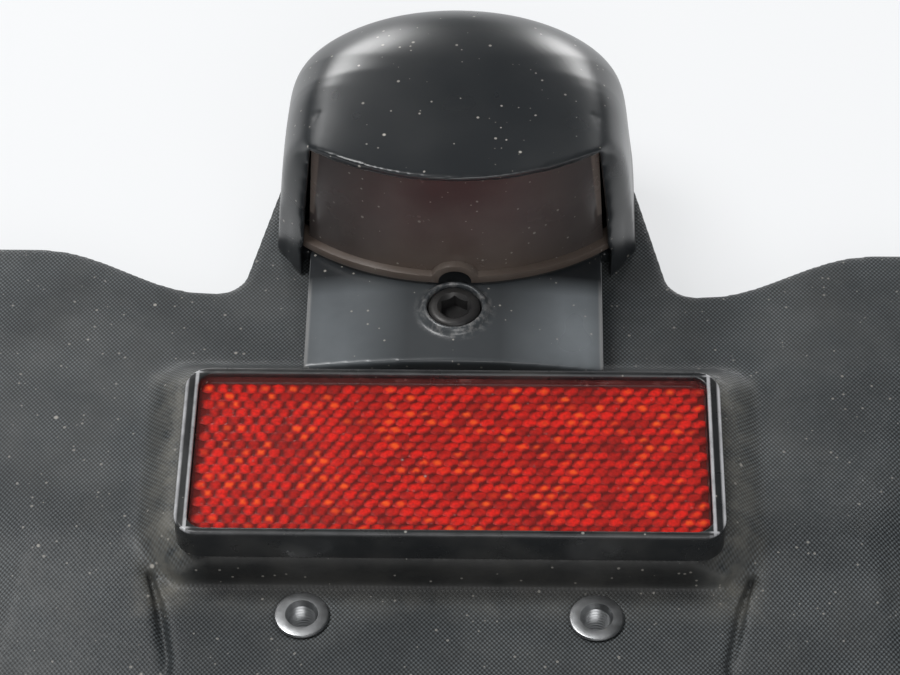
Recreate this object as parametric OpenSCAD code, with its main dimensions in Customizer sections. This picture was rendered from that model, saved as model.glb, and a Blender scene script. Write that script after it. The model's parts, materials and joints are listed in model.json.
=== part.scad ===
// Licence plate holder of a motorcycle: a moulded bracket with two wings, a plate lamp under a hood
// and a red reflector on a raised pad. X is the width, Y runs up the face, Z is the face's normal.
// The origin is the middle of the four inserts on the back, on the plane that they rest on.

/* [Bracket] */
// Overall width across the wing tips
overall_w = 216; // [180:1:260]
// Width of the lower edge
lower_w = 156; // [130:1:180]
// Distance from the origin down to the lower edge
lower_len = 70; // [58:1:84]
// Height of the wings' face above the rest plane
wing_h = 14; // [13:0.5:18]
// Height of the middle panel's face, which the plate lies on
panel_h = 11; // [10:0.5:13]
// Thickness of the moulded skin
skin_t = 3; // [2:0.25:3.5]
// Depth of the stiffening rim under the edge, from the face
rim_depth = 7; // [5:0.5:9]
// Width of that rim
rim_w = 2.4; // [1.6:0.2:4]
// Height along the face at which the side panels fold back
crease_y = -9; // [-14:1:-6]
// Angle that the side panels fold back
side_fold = 9; // [4:1:10]
// Angle that the outer flanks fold back
flank_fold = 19; // [8:1:21]
// How far the neck stands out past the hood on each side
neck_margin = 1.25; // [1:0.25:3]
// How much wider the neck is at its foot, on each side
neck_flare = 5; // [3:0.5:8]
// Lowest point of the wings' upper edge
valley_y = 49; // [44:1:52]
// Highest point of the wings' upper edge
crest_y = 60.3; // [55:0.5:66]

/* [Raised pad] */
// How far the pad stands out past the reflector on each side
pad_margin = 3.5; // [2:0.5:6]
// Height of the pad's face above the rest plane
pad_h = 18.7; // [17:0.1:20]
// How far the pad goes on above the reflector, under the lamp's base plate
pad_above = 6.5; // [5.5:0.5:9]
// How far it goes on below the reflector
pad_below = 0.5; // [0.5:0.5:3]
// How far its sides and its upper edge slope out, down to the wings
pad_flare = 4.5; // [2:0.5:5]

/* [Fixings on the back] */
// Distance between the rear inserts across the width
rear_dx = 120; // [100:1:130]
// Distance between the rear inserts along the height
rear_dy = 72; // [60:1:76]
// Radius of an insert's threaded bore
rear_bore_r = 2.5; // [2:0.1:3]
// Outer radius of an insert
rear_insert_r = 4.2; // [3.8:0.1:5]
// Length of an insert
rear_insert_len = 6.5; // [5:0.5:7]
// Outer radius of the boss round an insert
rear_boss_r = 7; // [6:0.25:9]

/* [Plate fixings] */
// Distance between the two rivet nuts for the plate
plate_dx = 53.6; // [46:0.1:58]
// Distance from the pad's lower edge down to them
plate_drop = 7; // [6.5:0.5:14]
// Radius of their threaded bore
plate_bore_r = 2.5; // [2:0.1:3]
// Radius of their flange
plate_flange_r = 5; // [4.5:0.1:6]
// Radius of their barrel
plate_barrel_r = 4; // [3.5:0.1:4.2]

/* [Lamp housing] */
// Width of the hood across its cheeks
hood_w = 71.5; // [60:0.5:86]
// Length of the hood's rounded back, from where its sides start to turn
hood_back = 26.5; // [24:0.5:31]
// Height along the face at which its sides start to turn
hood_mid_y = 72; // [70:0.5:75]
// Height of the hood above the bracket
hood_h = 40; // [33:0.5:48]
// Roundness of the hood's back across the width, 2 is an ellipse
hood_plan_p = 2.6; // [2:0.1:3.2]
// Squareness of the hood's rear corners
hood_plan_q = 7.4; // [4:0.2:8]
// Squareness of the hood's upper edges, larger is sharper
hood_edge_n = 9; // [5:0.5:10]
// Share of its width that the hood loses towards its top
hood_taper = 0.09; // [0.04:0.01:0.1]
// Height along the face at which the hood's top starts to fall to the back
hood_fall_y = 74.5; // [72:0.5:78]
// Radius of that fall
hood_fall_r = 38; // [36:1:46]
// Radius of the arch of the hood's top across its width, at its back
hood_arch_r = 128; // [100:1:200]
// Wall of the hood
hood_wall = 2.4; // [1.8:0.1:3]
// Front of the cheeks along the height
cheek_y = 53; // [49:0.5:54]
// Length over which a cheek's front is rounded off
cheek_run = 13.5; // [8:0.5:15]
// Thickness of a cheek at its foot
cheek_t = 5.5; // [5:0.1:6]
// Slot between the smooth base plate and a cheek
base_slot = 1.6; // [1:0.1:2]
// Gap between the reflector and the base plate
base_gap = 4.5; // [3.5:0.5:5]
// Height of the base plate's crown above the rest plane
base_h = 23; // [22.5:0.1:24]
// Radius of the base plate's arch
base_arch_r = 178; // [150:1:220]
// Wall of the base plate
base_wall = 2.6; // [2:0.1:3]
// Height along the face of the lamp screw
screw_y = 37; // [36:0.1:38]
// Outer radius of the collar round the screw
collar_r = 6.5; // [6.3:0.1:7]
// Height of the collar above the rest plane
collar_h = 24.5; // [24:0.1:26]

/* [Lamp lens] */
// Radius of the bowed window, outside
bow_r = 44; // [42:0.5:48]
// Foremost point of the window along the height
bow_y = 43; // [42.5:0.1:44]
// Wall of the window
lens_t = 2.2; // [1.6:0.1:3]
// How much the window's sides draw in towards its top, on each side
lens_draw = 3.1; // [1.6:0.1:4]
// Depth of the hood's lip over the window's crown
hood_lip = 1.6; // [1.2:0.1:3]
// Radius of the window's arched top edge
lens_arch_r = 250; // [200:10:400]
// Half width of the notch over the screw
notch_r = 3.2; // [2.6:0.1:3.6]

/* [Bulb and socket] */
// Place of the bulb's axis along the height
bulb_y = 72; // [70:0.5:76]
// Radius of the bulb's glass
bulb_r = 5; // [4.5:0.1:5.5]
// Length of the bulb's glass above the socket
bulb_len = 19; // [16:0.5:22]
// Radius of the socket's body
socket_r = 8.5; // [8:0.1:9.5]
// Top of the socket above the rest plane
socket_top = 24; // [20:0.5:26]

/* [Reflector] */
// Width of the reflector's frame
refl_w = 100; // [83:0.5:104]
// Length of the reflector's frame
refl_l = 39; // [32:0.5:40]
// Thickness of the frame
refl_t = 7.3; // [6.8:0.1:9]
// Corner radius of the frame
refl_r = 4.6; // [3.5:0.1:6]
// Width of the frame's rim at the sides of the lens
refl_rim = 2.4; // [2:0.1:3.2]
// Width of the frame's rim above and below the lens
refl_rim_y = 1.4; // [1.2:0.1:3]
// Distance between its two studs
stud_dx = 60; // [50:1:70]
// Radius of a stud
stud_r = 2.5; // [2:0.1:3]

/* [Fits] */
// Clearance between pieces that are seated
seat_gap = 0.2; // [0.1:0.05:0.3]
// Clearance round a shank in its hole
hole_gap = 0.3; // [0.2:0.05:0.5]

/* [Hidden] */
$fn = 64;

// A length beyond every edge of the part, for cuts that run right through
far = 150;
// What follows from the hood's and the reflector's sizes
lens_foot = hood_w / 2 - cheek_t;
lens_top = lens_foot - lens_draw;
lens_crown = wing_h + hood_h - hood_lip;
base_w = 2 * (lens_foot - base_slot);
base_low = refl_l / 2 + base_gap;
base_back = bulb_y - socket_r - 1;
neck_top = hood_w / 2 + neck_margin;
neck_foot = neck_top + neck_flare;
// How far the hood stands out over the neck round its back
neck_under = 0.6;
pad_w = refl_w + 2 * pad_margin;
pad_low = -refl_l / 2 - pad_below;
pad_high = refl_l / 2 + pad_above;
plate_y = pad_low - plate_drop;
// Outline of the wings
valley_x = neck_foot + 6.5;
crest_x = overall_w / 2 - 25;
tip_r = 14;
valley_r = 6;
edge_steps = 10;
// Fold line of the flanks, at the wings' height
fold_x = overall_w / 2 - 22;
fold_y = 18;
fold_turn = 18.3;
crease_r = 14;
flank_r = 22;
fold_steps = 4;
// Middle panel between the two side panels
spine_top_x = 58;
spine_mid_x = 52.5;
spine_low_x = 50;
spine_top_y = crease_y + 2;
spine_mid_y = -24;
spine_low_y = -36;
groove_w = 1.7;
groove_depth = skin_t * 2 / 3;
web_depth = 8;
web_t = 2.4;
foot_clear = 0.6;
// Raised pad
pad_corner = 8;
pad_turn = 4;
pad_edge = 1.6;
pad_base = 4;
// Upper edge of the pad's slope, kept clear of the screw's collar
pad_foot = min(pad_high + pad_flare, screw_y - collar_r - 0.5);
// Ribs under the skin
rib_t = 2.2;
rib_foot = 3;
neck_rib_dx = 50;
// Levels in the lamp
floor_t = 2.6;
// Radius in plan of the line at which the hood's top starts to fall
fall_bow_r = 46;
// Share of the top's arch that is left at the hood's front
arch_front = 0.15;
bow_cy = bow_y + bow_r;
lip = 0.6;
// Depth to which the window is cut, past the lens's side ends
window_back = bow_cy - sqrt(pow(bow_r - lens_t, 2) - pow(lens_foot, 2)) + 4;
// Radius of the arc that rounds off a cheek's front, from its side to its inner edge
cheek_in = hood_w / 2 - lens_foot - seat_gap;
cheek_r = (pow(cheek_run, 2) + pow(cheek_in, 2)) / (2 * cheek_in);
lens_low = base_h - 3;
// M6 socket-head screw of the lamp
m6_r = 3;
m6_head_r = 5;
m6_head_h = 6;
m6_key_r = 2.9;
m6_key_depth = 3.2;
washer_t = 1.2;
m6_nut_r = 5.77;
m6_nut_h = 5;
screw_len = 18;
head_z = collar_h - 0.3 - m6_head_h;
head_seat = head_z - washer_t;
// Socket under the neck
socket_flange_r = socket_r + 3.6;
socket_flange_t = 2.4;
seal_t = 1.2;
flange_z = wing_h - skin_t - seal_t - socket_flange_t;
boot_z = 1.2;
terminal_w = 3.2;
terminal_t = 0.8;
wedge_w = 8.4;
wedge_t = 2.4;
wedge_l = 8;
glass_t = 0.7;
hook_w = 12;
hook_t = 2;
hook_y = hood_mid_y + hood_back - 7;
// Reflector
refl_z = pad_h;
refl_back = 2;
refl_ledge = 1;
refl_lens_t = 2;
refl_lens_top = refl_z + refl_t - 0.8;
stud_head_r = 4;
stud_head_t = 1.2;
stud_len = 12;
m5_nut_r = 4.6;
m5_nut_h = 4;
m5_washer_r = 5.5;
// Prisms under the reflector's lens
prism_pitch = 2.6;
prism_row = 1.9;
prism_depth = 1.1;
prism_border = 0.5;

// Both sides of the part, from the shape on the right
module both_sides() {
  children();
  mirror([1, 0, 0]) children();
}

// One shape on each of two places along X
module pair_x(dx) {
  for (s = [-1, 1]) translate([s * dx / 2, 0, 0]) children();
}

// Plan of the hood: straight cheeks and a rounded back, k scales it towards its middle
function hood_plan(a, b, k, front) = concat(
  [[a * k, front]],
  [for (i = [0 : 36]) let (t = 90 - 5 * i, s = sin(t), c = cos(t))
    [a * k * sign(s) * pow(abs(s), 2 / hood_plan_p), hood_mid_y + b * k * pow(max(c, 0), 2 / hood_plan_q)]],
  [[-a * k, front]]
);

// How far the hood's top lies under its crown at a place: it falls to the back, and is arched across
// more and more towards the back
function hood_drop(x, y) = let (
  start = hood_fall_y - fall_bow_r + sqrt(pow(fall_bow_r, 2) - x * x),
  s = min(max(y - start, 0), hood_fall_r * 0.97),
  t = min(max((y - bow_y) / (hood_fall_y - bow_y), 0), 1)
) (arch_front + (1 - arch_front) * t * t * (3 - 2 * t)) * x * x / (2 * hood_arch_r)
  + hood_fall_r - sqrt(pow(hood_fall_r, 2) - s * s);

// Closed form of the hood, lofted up from its plan: edges by the superellipse formula, then the drop
module hood_form(inset, front) {
  a = hood_w / 2 - inset;
  b = hood_back - inset;
  h = hood_h - inset;
  rings = concat(
    [for (f = [0 : 9 : 81]) [pow(cos(f), 2 / hood_edge_n), pow(sin(f), 2 / hood_edge_n)]],
    [for (k = [0.5 : -0.15 : 0.05]) [k, pow(1 - pow(k, hood_edge_n), 1 / hood_edge_n)]]
  );
  points = [for (r = rings) for (p = hood_plan(a * (1 - hood_taper * r[1]), b, r[0], front))
    [p[0], p[1], wing_h + r[1] * (h - hood_drop(p[0], p[1]))]];
  n = len(hood_plan(a, b, 1, front));
  last = (len(rings) - 1) * n;
  half = (n - 1) / 2;
  polyhedron(points = points, faces = concat(
    [[for (i = [0 : n - 1]) i]],
    [for (i = [0 : half - 2]) [last + n - 1 - i, last + n - 2 - i, last + i + 1, last + i]],
    [[last + half + 1, last + half, last + half - 1]],
    [for (j = [0 : len(rings) - 2]) for (i = [0 : n - 1]) let (m = (i + 1) % n)
      [j * n + m, j * n + i, (j + 1) * n + i]],
    [for (j = [0 : len(rings) - 2]) for (i = [0 : n - 1]) let (m = (i + 1) % n)
      [j * n + m, (j + 1) * n + i, (j + 1) * n + m]]
  ));
}

// Upper edge of a wing, from the neck's foot to the crest
function wing_edge() = [for (i = [0 : edge_steps]) let (t = i / edge_steps)
  [valley_x + (crest_x - valley_x) * t, valley_y + (crest_y - valley_y) * (1 - cos(180 * t)) / 2]];

// Outline of the bracket seen from the front
module bracket_outline() {
  offset(r = -valley_r) offset(r = valley_r) {
    offset(r = tip_r) offset(r = -tip_r)
      both_sides() polygon(concat(
        [[-1, valley_y], [-1, -lower_len], [lower_w / 2, -lower_len], [overall_w / 2, crest_y - 12],
         [overall_w / 2, crest_y]],
        [for (i = [edge_steps : -1 : 0]) wing_edge()[i]]
      ));
    both_sides() polygon([[-1, 0], [neck_foot, 0], [neck_foot, valley_y + 2], [neck_top, valley_y + 24],
                          [hood_w / 2 - neck_under, hood_mid_y + 9], [-1, hood_mid_y + 9]]);
    offset(delta = -neck_under) polygon(hood_plan(hood_w / 2, hood_back, 1, hood_mid_y - 2));
  }
}

// Outline of the middle panel
module spine_outline() {
  both_sides() polygon([[-1, -lower_len - 20], [spine_low_x, -lower_len - 20], [spine_low_x, spine_low_y],
                        [spine_mid_x, spine_mid_y], [spine_top_x, spine_top_y], [spine_top_x, crease_y + 12],
                        [-1, crease_y + 12]]);
}

// Everything under a face that is flat above y, and folded back by an angle below it in a soft arc
module under_fold(y, h, angle) {
  start = y + crease_r * tan(angle / 2);
  arc = [for (i = [0 : fold_steps]) let (a = angle * i / fold_steps)
    [start - crease_r * sin(a), h - crease_r * (1 - cos(a))]];
  end = arc[fold_steps];
  rotate([90, 0, 90]) translate([0, 0, -far])
    linear_extrude(2 * far)
      polygon(concat([[far, -far], [far, h]], arc,
                     [[end[0] - far, end[1] - far * tan(angle)], [end[0] - far, -far]]));
}

// Everything under the wings' and side panels' faces, lowered by d
module under_wings(d) {
  intersection() {
    under_fold(crease_y, wing_h - d, side_fold);
    under_flank(d);
    mirror([1, 0, 0]) under_flank(d);
  }
}

// Everything under the right flank, which bends back in a soft arc of flat steps, lowered by d
module under_flank(d) {
  translate([fold_x, fold_y, wing_h - d]) rotate([0, 0, -fold_turn]) intersection_for(i = [1 : fold_steps]) {
    a = flank_fold * i / fold_steps;
    translate([flank_r * (sin(a) - tan(flank_fold / 2)), 0, -flank_r * (1 - cos(a))]) rotate([0, a, 0])
      translate([-1.4 * far, -far, -far]) cube([2 * far, 2 * far, far]);
  }
}

// Everything under the middle panel's face, lowered by d
module under_spine(d) {
  intersection() {
    translate([0, 0, -far]) linear_extrude(2 * far) spine_outline();
    rotate([90, 0, 90]) translate([0, 0, -far])
      linear_extrude(2 * far)
        polygon([[far, -far], [far, wing_h - d], [crease_y + 1, wing_h - d], [pad_low + 1, panel_h - d],
                 [-far, panel_h - d], [-far, -far]]);
  }
}

// Everything under the bracket's whole face, lowered by d
module under_face(d) {
  difference() {
    under_wings(d);
    translate([0, 0, -far]) linear_extrude(2 * far) spine_outline();
  }
  under_spine(d);
}

// Raised pad with sloped sides and upper edge, taken in by an inset all over
module pad_form(inset) {
  // Plan at a level: half its width, its upper edge and its lower edge
  module pad_plan(half, high, low) {
    offset(delta = -inset) both_sides() polygon([[-1, low], [half - pad_corner, low],
      [half, low + pad_corner], [half, high - pad_turn], [half - pad_turn, high], [-1, high]]);
  }
  hull() {
    translate([0, 0, pad_base]) linear_extrude(wing_h - inset - pad_base)
      pad_plan(pad_w / 2 + pad_flare, pad_foot, pad_low);
    translate([0, 0, pad_base]) linear_extrude(pad_h - pad_edge - inset - pad_base)
      pad_plan(pad_w / 2, pad_high, pad_low);
    translate([0, 0, pad_base]) linear_extrude(pad_h - inset - pad_base)
      pad_plan(pad_w / 2 - pad_edge / 2, pad_high - pad_edge / 2, pad_low + pad_edge / 2);
  }
}

// Grooves between the middle panel and the side panels
module spine_grooves() {
  translate([0, 0, panel_h - groove_depth]) linear_extrude(far) both_sides()
    polygon([[spine_top_x - 0.3, spine_top_y - 2], [spine_top_x + 0.4, spine_top_y - 2],
             [spine_mid_x + groove_w, spine_mid_y], [spine_low_x + groove_w, spine_low_y],
             [spine_low_x + 0.4, -lower_len + 12], [spine_low_x, -lower_len + 12],
             [spine_low_x, spine_low_y], [spine_mid_x, spine_mid_y]]);
}

module bracket() {
  color("#3c3f42") difference() {
    union() {
      // Skin, folded as the face is
      intersection() {
        translate([0, 0, foot_clear]) linear_extrude(far) bracket_outline();
        difference() {
          union() {
            under_face(0);
            pad_form(0);
          }
          difference() {
            under_face(skin_t);
            web_form();
          }
          pad_form(skin_t);
        }
      }
      // Rim round the edge
      intersection() {
        translate([0, 0, foot_clear]) linear_extrude(far) difference() {
          bracket_outline();
          offset(delta = -rim_w) bracket_outline();
        }
        difference() {
          under_face(0);
          under_face(rim_depth);
        }
      }
      rear_bosses();
      back_ribs();
    }
    // Holes for the inserts, the rivet nuts, the studs, the lamp's screw, its socket and its hook
    pair_x(rear_dx) for (y = [-rear_dy / 2, rear_dy / 2]) translate([0, y, -1])
      cylinder(r = rear_insert_r, h = rear_insert_len + 1);
    translate([0, plate_y, 0]) pair_x(plate_dx) cylinder(r = plate_barrel_r + seat_gap, h = far);
    pair_x(stud_dx) cylinder(r = stud_r + hole_gap, h = far);
    translate([0, screw_y, 0]) cylinder(r = m6_r + hole_gap, h = far);
    translate([0, bulb_y, 0]) cylinder(r = socket_r + hole_gap, h = far);
    translate([-hook_w / 2 - 0.5, hook_y - 0.3, 0]) cube([hook_w + 1, hook_t + 2.2, far]);
    spine_grooves();
  }
}

// Wall that joins the middle panel to the lower side panels
module web_form() {
  difference() {
    under_face(skin_t);
    under_face(web_depth);
    translate([0, 0, -far]) linear_extrude(2 * far) union() {
      offset(delta = -web_t / 2) spine_outline();
      difference() {
        square([4 * far, 4 * far], center = true);
        offset(delta = groove_w + web_t / 2) spine_outline();
      }
    }
    translate([-far, crease_y, -far]) cube([2 * far, 2 * far, 2 * far]);
  }
}

// Bosses round the rear inserts, up to the skin
module rear_bosses() {
  intersection() {
    pair_x(rear_dx) for (y = [-rear_dy / 2, rear_dy / 2]) translate([0, y, foot_clear])
      cylinder(r = rear_boss_r, h = wing_h);
    under_wings(skin_t / 2);
  }
}

// Ribs under the skin, between the bosses
module back_ribs() {
  intersection() {
    union() {
      for (s = [-1, 1]) translate([s * rear_dx / 2 - rib_t / 2, -rear_dy / 2 + rear_boss_r - 1, rib_foot])
        cube([rib_t, rear_dy - 2 * rear_boss_r + 2, wing_h]);
      translate([-rear_dx / 2 + rear_boss_r - 1, rear_dy / 2 - rib_t / 2, rib_foot + 2])
        cube([rear_dx / 2 - rear_boss_r - 12, rib_t, wing_h]);
      translate([13, rear_dy / 2 - rib_t / 2, rib_foot + 2])
        cube([rear_dx / 2 - rear_boss_r - 12, rib_t, wing_h]);
      // Two long ribs beside the lamp's socket, from the pad to the neck's end
      pair_x(neck_rib_dx) translate([-rib_t / 2, pad_high, rib_foot + 2])
        cube([rib_t, hood_mid_y + hood_back / 2 - pad_high, wing_h]);
    }
    under_wings(skin_t / 2);
  }
}

module rear_inserts() {
  color("#b08d4a") pair_x(rear_dx) for (y = [-rear_dy / 2, rear_dy / 2]) translate([0, y, 0])
    difference() {
      cylinder(r = rear_insert_r, h = rear_insert_len);
      translate([0, 0, -1]) cylinder(r = rear_bore_r, h = rear_insert_len + 2);
    }
}

module plate_rivet_nuts() {
  color("#a9abac") translate([0, plate_y, panel_h]) pair_x(plate_dx) difference() {
    union() {
      cylinder(r = plate_flange_r, h = 0.9);
      translate([0, 0, -skin_t - 5]) cylinder(r = plate_barrel_r, h = skin_t + 5.5);
      translate([0, 0, -skin_t - 2]) cylinder(r = plate_barrel_r + 0.9, h = 2);
    }
    translate([0, 0, -skin_t - 6]) cylinder(r = plate_bore_r, h = skin_t + 8);
  }
}

// Plan that the hood's front is cut to: the bow of the window and the two cheeks
module front_plan() {
  inner = lens_foot + seat_gap;
  translate([0, bow_cy]) circle(r = bow_r + lip, $fn = 160);
  both_sides() {
    translate([inner, cheek_y + cheek_run - lip]) square([10, 60]);
    intersection() {
      translate([hood_w / 2 - cheek_r, cheek_y + cheek_run]) circle(r = cheek_r);
      translate([inner, 0]) square([far, far]);
    }
  }
  translate([-far, hood_mid_y - 6]) square([2 * far, far]);
}

// Window that the lens fills, grown by a gap, with an arched crown and sides that draw in
module window_form(gap) {
  intersection() {
    translate([0, far, 0]) rotate([90, 0, 0]) linear_extrude(far + 30)
      polygon([[-lens_foot - gap, lens_low - 8], [lens_foot + gap, lens_low - 8],
               [lens_top + gap, lens_crown + 2], [-lens_top - gap, lens_crown + 2]]);
    translate([0, far + 1, lens_crown + gap - lens_arch_r]) rotate([90, 0, 0])
      cylinder(r = lens_arch_r, h = far + 32, $fn = 200);
  }
}

// Everything under the base plate's arch, grown by a rise
module under_arch(rise, y0, y1) {
  translate([0, y1, base_h - base_arch_r]) rotate([90, 0, 0])
    cylinder(r = base_arch_r + rise, h = y1 - y0, $fn = 240);
}

// Base plate between the reflector and the hood, hollow underneath
module base_plate() {
  difference() {
    intersection() {
      under_arch(0, base_low, base_back);
      translate([-base_w / 2, base_low, wing_h]) cube([base_w, base_back - base_low, far]);
    }
    difference() {
      intersection() {
        under_arch(-base_wall, base_low + base_wall, base_back);
        translate([-base_w / 2 + base_wall, base_low + base_wall, wing_h - 1])
          cube([base_w - 2 * base_wall, cheek_y - 1 - base_low, far]);
      }
      translate([0, screw_y, 0]) cylinder(r = collar_r, h = far);
    }
    pad_form(-seat_gap);
  }
  translate([0, screw_y, wing_h]) cylinder(r = collar_r, h = collar_h - wing_h);
}

module lamp_housing() {
  color("#15171a") difference() {
    union() {
      intersection() {
        hood_form(0, bow_y - 6);
        translate([0, 0, wing_h]) linear_extrude(far) front_plan();
        difference() {
          translate([-far, 0, 0]) cube([2 * far, 2 * far, far]);
          // Hollow of the hood, open at the window
          intersection() {
            hood_form(hood_wall, bow_y - 6);
            translate([-far, window_back - 0.1, wing_h + floor_t]) cube([2 * far, far, far]);
          }
          intersection() {
            window_form(seat_gap);
            translate([-far, 0, wing_h + floor_t]) cube([2 * far, window_back, far]);
          }
          // Slots between the cheeks and the base plate
          both_sides() translate([base_w / 2, cheek_y - 8, wing_h - 1])
            cube([lens_foot + seat_gap - base_w / 2, 12.5, lens_low - wing_h + 2]);
        }
      }
      base_plate();
      // Hook at the back, through the neck
      translate([-hook_w / 2, hook_y, wing_h - skin_t - 2.6]) cube([hook_w, hook_t, skin_t + 2.6 + floor_t]);
      translate([-hook_w / 2, hook_y, wing_h - skin_t - 2.6]) cube([hook_w, hook_t + 1.6, 2.3]);
    }
    translate([0, screw_y, 0]) cylinder(r = m6_r + hole_gap, h = far);
    translate([0, screw_y, head_seat]) cylinder(r = m6_head_r + hole_gap, h = far);
    translate([0, bulb_y, 0]) cylinder(r = socket_r + hole_gap, h = wing_h + floor_t + 1);
  }
}

// Bowed band of the window's wall, between two radii
module bow_band(r_in, r_out) {
  translate([0, bow_cy, 0]) linear_extrude(far) difference() {
    circle(r = r_out, $fn = 160);
    circle(r = r_in, $fn = 160);
    translate([-far, 0]) square([2 * far, far]);
  }
}

module lamp_lens() {
  color("#4a3f38") difference() {
    union() {
      intersection() {
        bow_band(bow_r - lens_t, bow_r);
        window_form(0);
      }
      // Raised ring over the screw
      intersection() {
        translate([0, bow_y + lens_t, base_h + 1]) rotate([90, 0, 0])
          cylinder(r = notch_r + 1.4, h = lens_t + 0.9);
        translate([-far, 0, 0]) cube([2 * far, far, far]);
      }
    }
    under_arch(0.8, bow_y - 10, bow_y + 30);
    translate([0, bow_y + 10, base_h + 1]) rotate([90, 0, 0]) cylinder(r = notch_r, h = 20);
    translate([-notch_r, bow_y - 10, 0]) cube([2 * notch_r, 20, base_h + 1]);
    translate([0, screw_y, 0]) cylinder(r = collar_r + seat_gap, h = collar_h + seat_gap);
  }
}

module lens_gasket() {
  color("#111111") difference() {
    intersection() {
      bow_band(bow_r - lens_t + 0.2, bow_r - 0.2);
      translate([-base_w / 2 + 0.5, bow_y - 1, 0]) cube([base_w - 1, 20, far]);
      under_arch(0.7, bow_y - 5, bow_y + 20);
    }
    under_arch(0.1, bow_y - 10, bow_y + 30);
    translate([-notch_r - 2, bow_y - 10, 0]) cube([2 * notch_r + 4, 20, far]);
  }
}

module bulb_glass() {
  color("#dfe6ea") translate([0, bulb_y, socket_top]) {
    difference() {
      rotate_extrude() {
        translate([0, 1.2]) square([bulb_r, bulb_len - bulb_r - 1.2]);
        intersection() {
          translate([0, bulb_len - bulb_r]) circle(r = bulb_r);
          square([bulb_r, bulb_len]);
        }
      }
      rotate_extrude() {
        translate([0, 2.4]) square([bulb_r - glass_t, bulb_len - bulb_r - 2.4]);
        intersection() {
          translate([0, bulb_len - bulb_r]) circle(r = bulb_r - glass_t);
          square([bulb_r, bulb_len]);
        }
      }
    }
    translate([-wedge_w / 2, -wedge_t / 2, -wedge_l]) cube([wedge_w, wedge_t, wedge_l + 2]);
  }
}

module bulb_filament() {
  leg = 8;
  color("#8a8a8a") translate([0, bulb_y, socket_top + 2.6]) {
    pair_x(4) cylinder(r = 0.25, h = leg);
    translate([-2.2, 0, leg]) rotate([0, 90, 0]) cylinder(r = 0.4, h = 4.4);
  }
}

module bulb_socket() {
  color("#26282a") translate([0, bulb_y, 0]) difference() {
    union() {
      translate([0, 0, flange_z]) cylinder(r = socket_r, h = socket_top - flange_z);
      translate([0, 0, flange_z]) cylinder(r = socket_flange_r, h = socket_flange_t);
    }
    translate([-wedge_w / 2 - seat_gap, -wedge_t / 2 - seat_gap, socket_top - wedge_l - seat_gap])
      cube([wedge_w + 2 * seat_gap, wedge_t + 2 * seat_gap, far]);
    pair_x(5) translate([-terminal_w / 2 - 0.1, -terminal_t / 2 - 0.1, 0])
      cube([terminal_w + 0.2, terminal_t + 0.2, socket_top - wedge_l - 1.4]);
  }
}

module socket_seal() {
  color("#161616") translate([0, bulb_y, flange_z + socket_flange_t]) difference() {
    cylinder(r = socket_flange_r - 0.4, h = seal_t);
    translate([0, 0, -1]) cylinder(r = socket_r + 0.2, h = seal_t + 2);
  }
}

module socket_terminals() {
  color("#b08d4a") translate([0, bulb_y, boot_z + 2.2]) pair_x(5)
    translate([-terminal_w / 2, -terminal_t / 2, 0]) cube([terminal_w, terminal_t, 10]);
}

module socket_boot() {
  color("#1b1b1b") translate([0, bulb_y, 0]) difference() {
    translate([0, 0, boot_z]) cylinder(r = socket_r, h = flange_z - boot_z);
    translate([0, 0, boot_z + 1.6]) cylinder(r = socket_r - 1.6, h = far);
    // Inlet for the lamp's wires
    translate([0, 0, boot_z + 3.4]) rotate([-90, 0, 0]) cylinder(r = 1.6, h = far);
  }
}

module lamp_screw() {
  color("#2a2a2c") translate([0, screw_y, head_z]) difference() {
    union() {
      cylinder(r = m6_head_r, h = m6_head_h);
      translate([0, 0, -screw_len]) cylinder(r = m6_r, h = screw_len);
    }
    translate([0, 0, m6_head_h - m6_key_depth]) cylinder(r = m6_key_r, h = m6_key_depth + 1, $fn = 6);
  }
}

// Flat ring that stands on the plane z = 0
module washer(r_in, r_out, t) {
  difference() {
    cylinder(r = r_out, h = t);
    translate([0, 0, -1]) cylinder(r = r_in, h = t + 2);
  }
}

// Hexagon nut with a round bore
module hex_nut(r_in, r_corner, h) {
  difference() {
    cylinder(r = r_corner, h = h, $fn = 6);
    translate([0, 0, -1]) cylinder(r = r_in, h = h + 2);
  }
}

module lamp_screw_washer() {
  color("#8f9193") translate([0, screw_y, head_seat]) washer(m6_r + 0.15, m6_head_r, washer_t);
}

module lamp_nut_washer() {
  color("#8f9193") translate([0, screw_y, wing_h - skin_t - washer_t]) washer(m6_r + 0.15, 6.2, washer_t);
}

module lamp_nut() {
  color("#9a9c9e") translate([0, screw_y, wing_h - skin_t - washer_t - m6_nut_h])
    hex_nut(m6_r + 0.03, m6_nut_r, m6_nut_h);
}

// Rectangle with rounded corners, centred
module rounded_plate(w, l, r, h) {
  linear_extrude(h) {
    square([w - 2 * r, l], center = true);
    square([w, l - 2 * r], center = true);
    for (x = [-1, 1]) for (y = [-1, 1])
      translate([x * (w / 2 - r), y * (l / 2 - r)]) circle(r = r);
  }
}

module reflector_frame() {
  inner_w = refl_w - 2 * refl_rim;
  inner_l = refl_l - 2 * refl_rim_y;
  inner_r = refl_r - refl_rim;
  color("#17181a") translate([0, 0, refl_z]) difference() {
    rounded_plate(refl_w, refl_l, refl_r, refl_t);
    translate([0, 0, refl_lens_top - refl_z - refl_lens_t]) rounded_plate(inner_w, inner_l, inner_r, far);
    translate([0, 0, refl_back])
      rounded_plate(inner_w - 2 * refl_ledge, inner_l - 2 * refl_ledge, inner_r / 2, far);
    pair_x(stud_dx) translate([0, 0, -1]) cylinder(r = stud_r + 0.05, h = far);
  }
}

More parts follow.
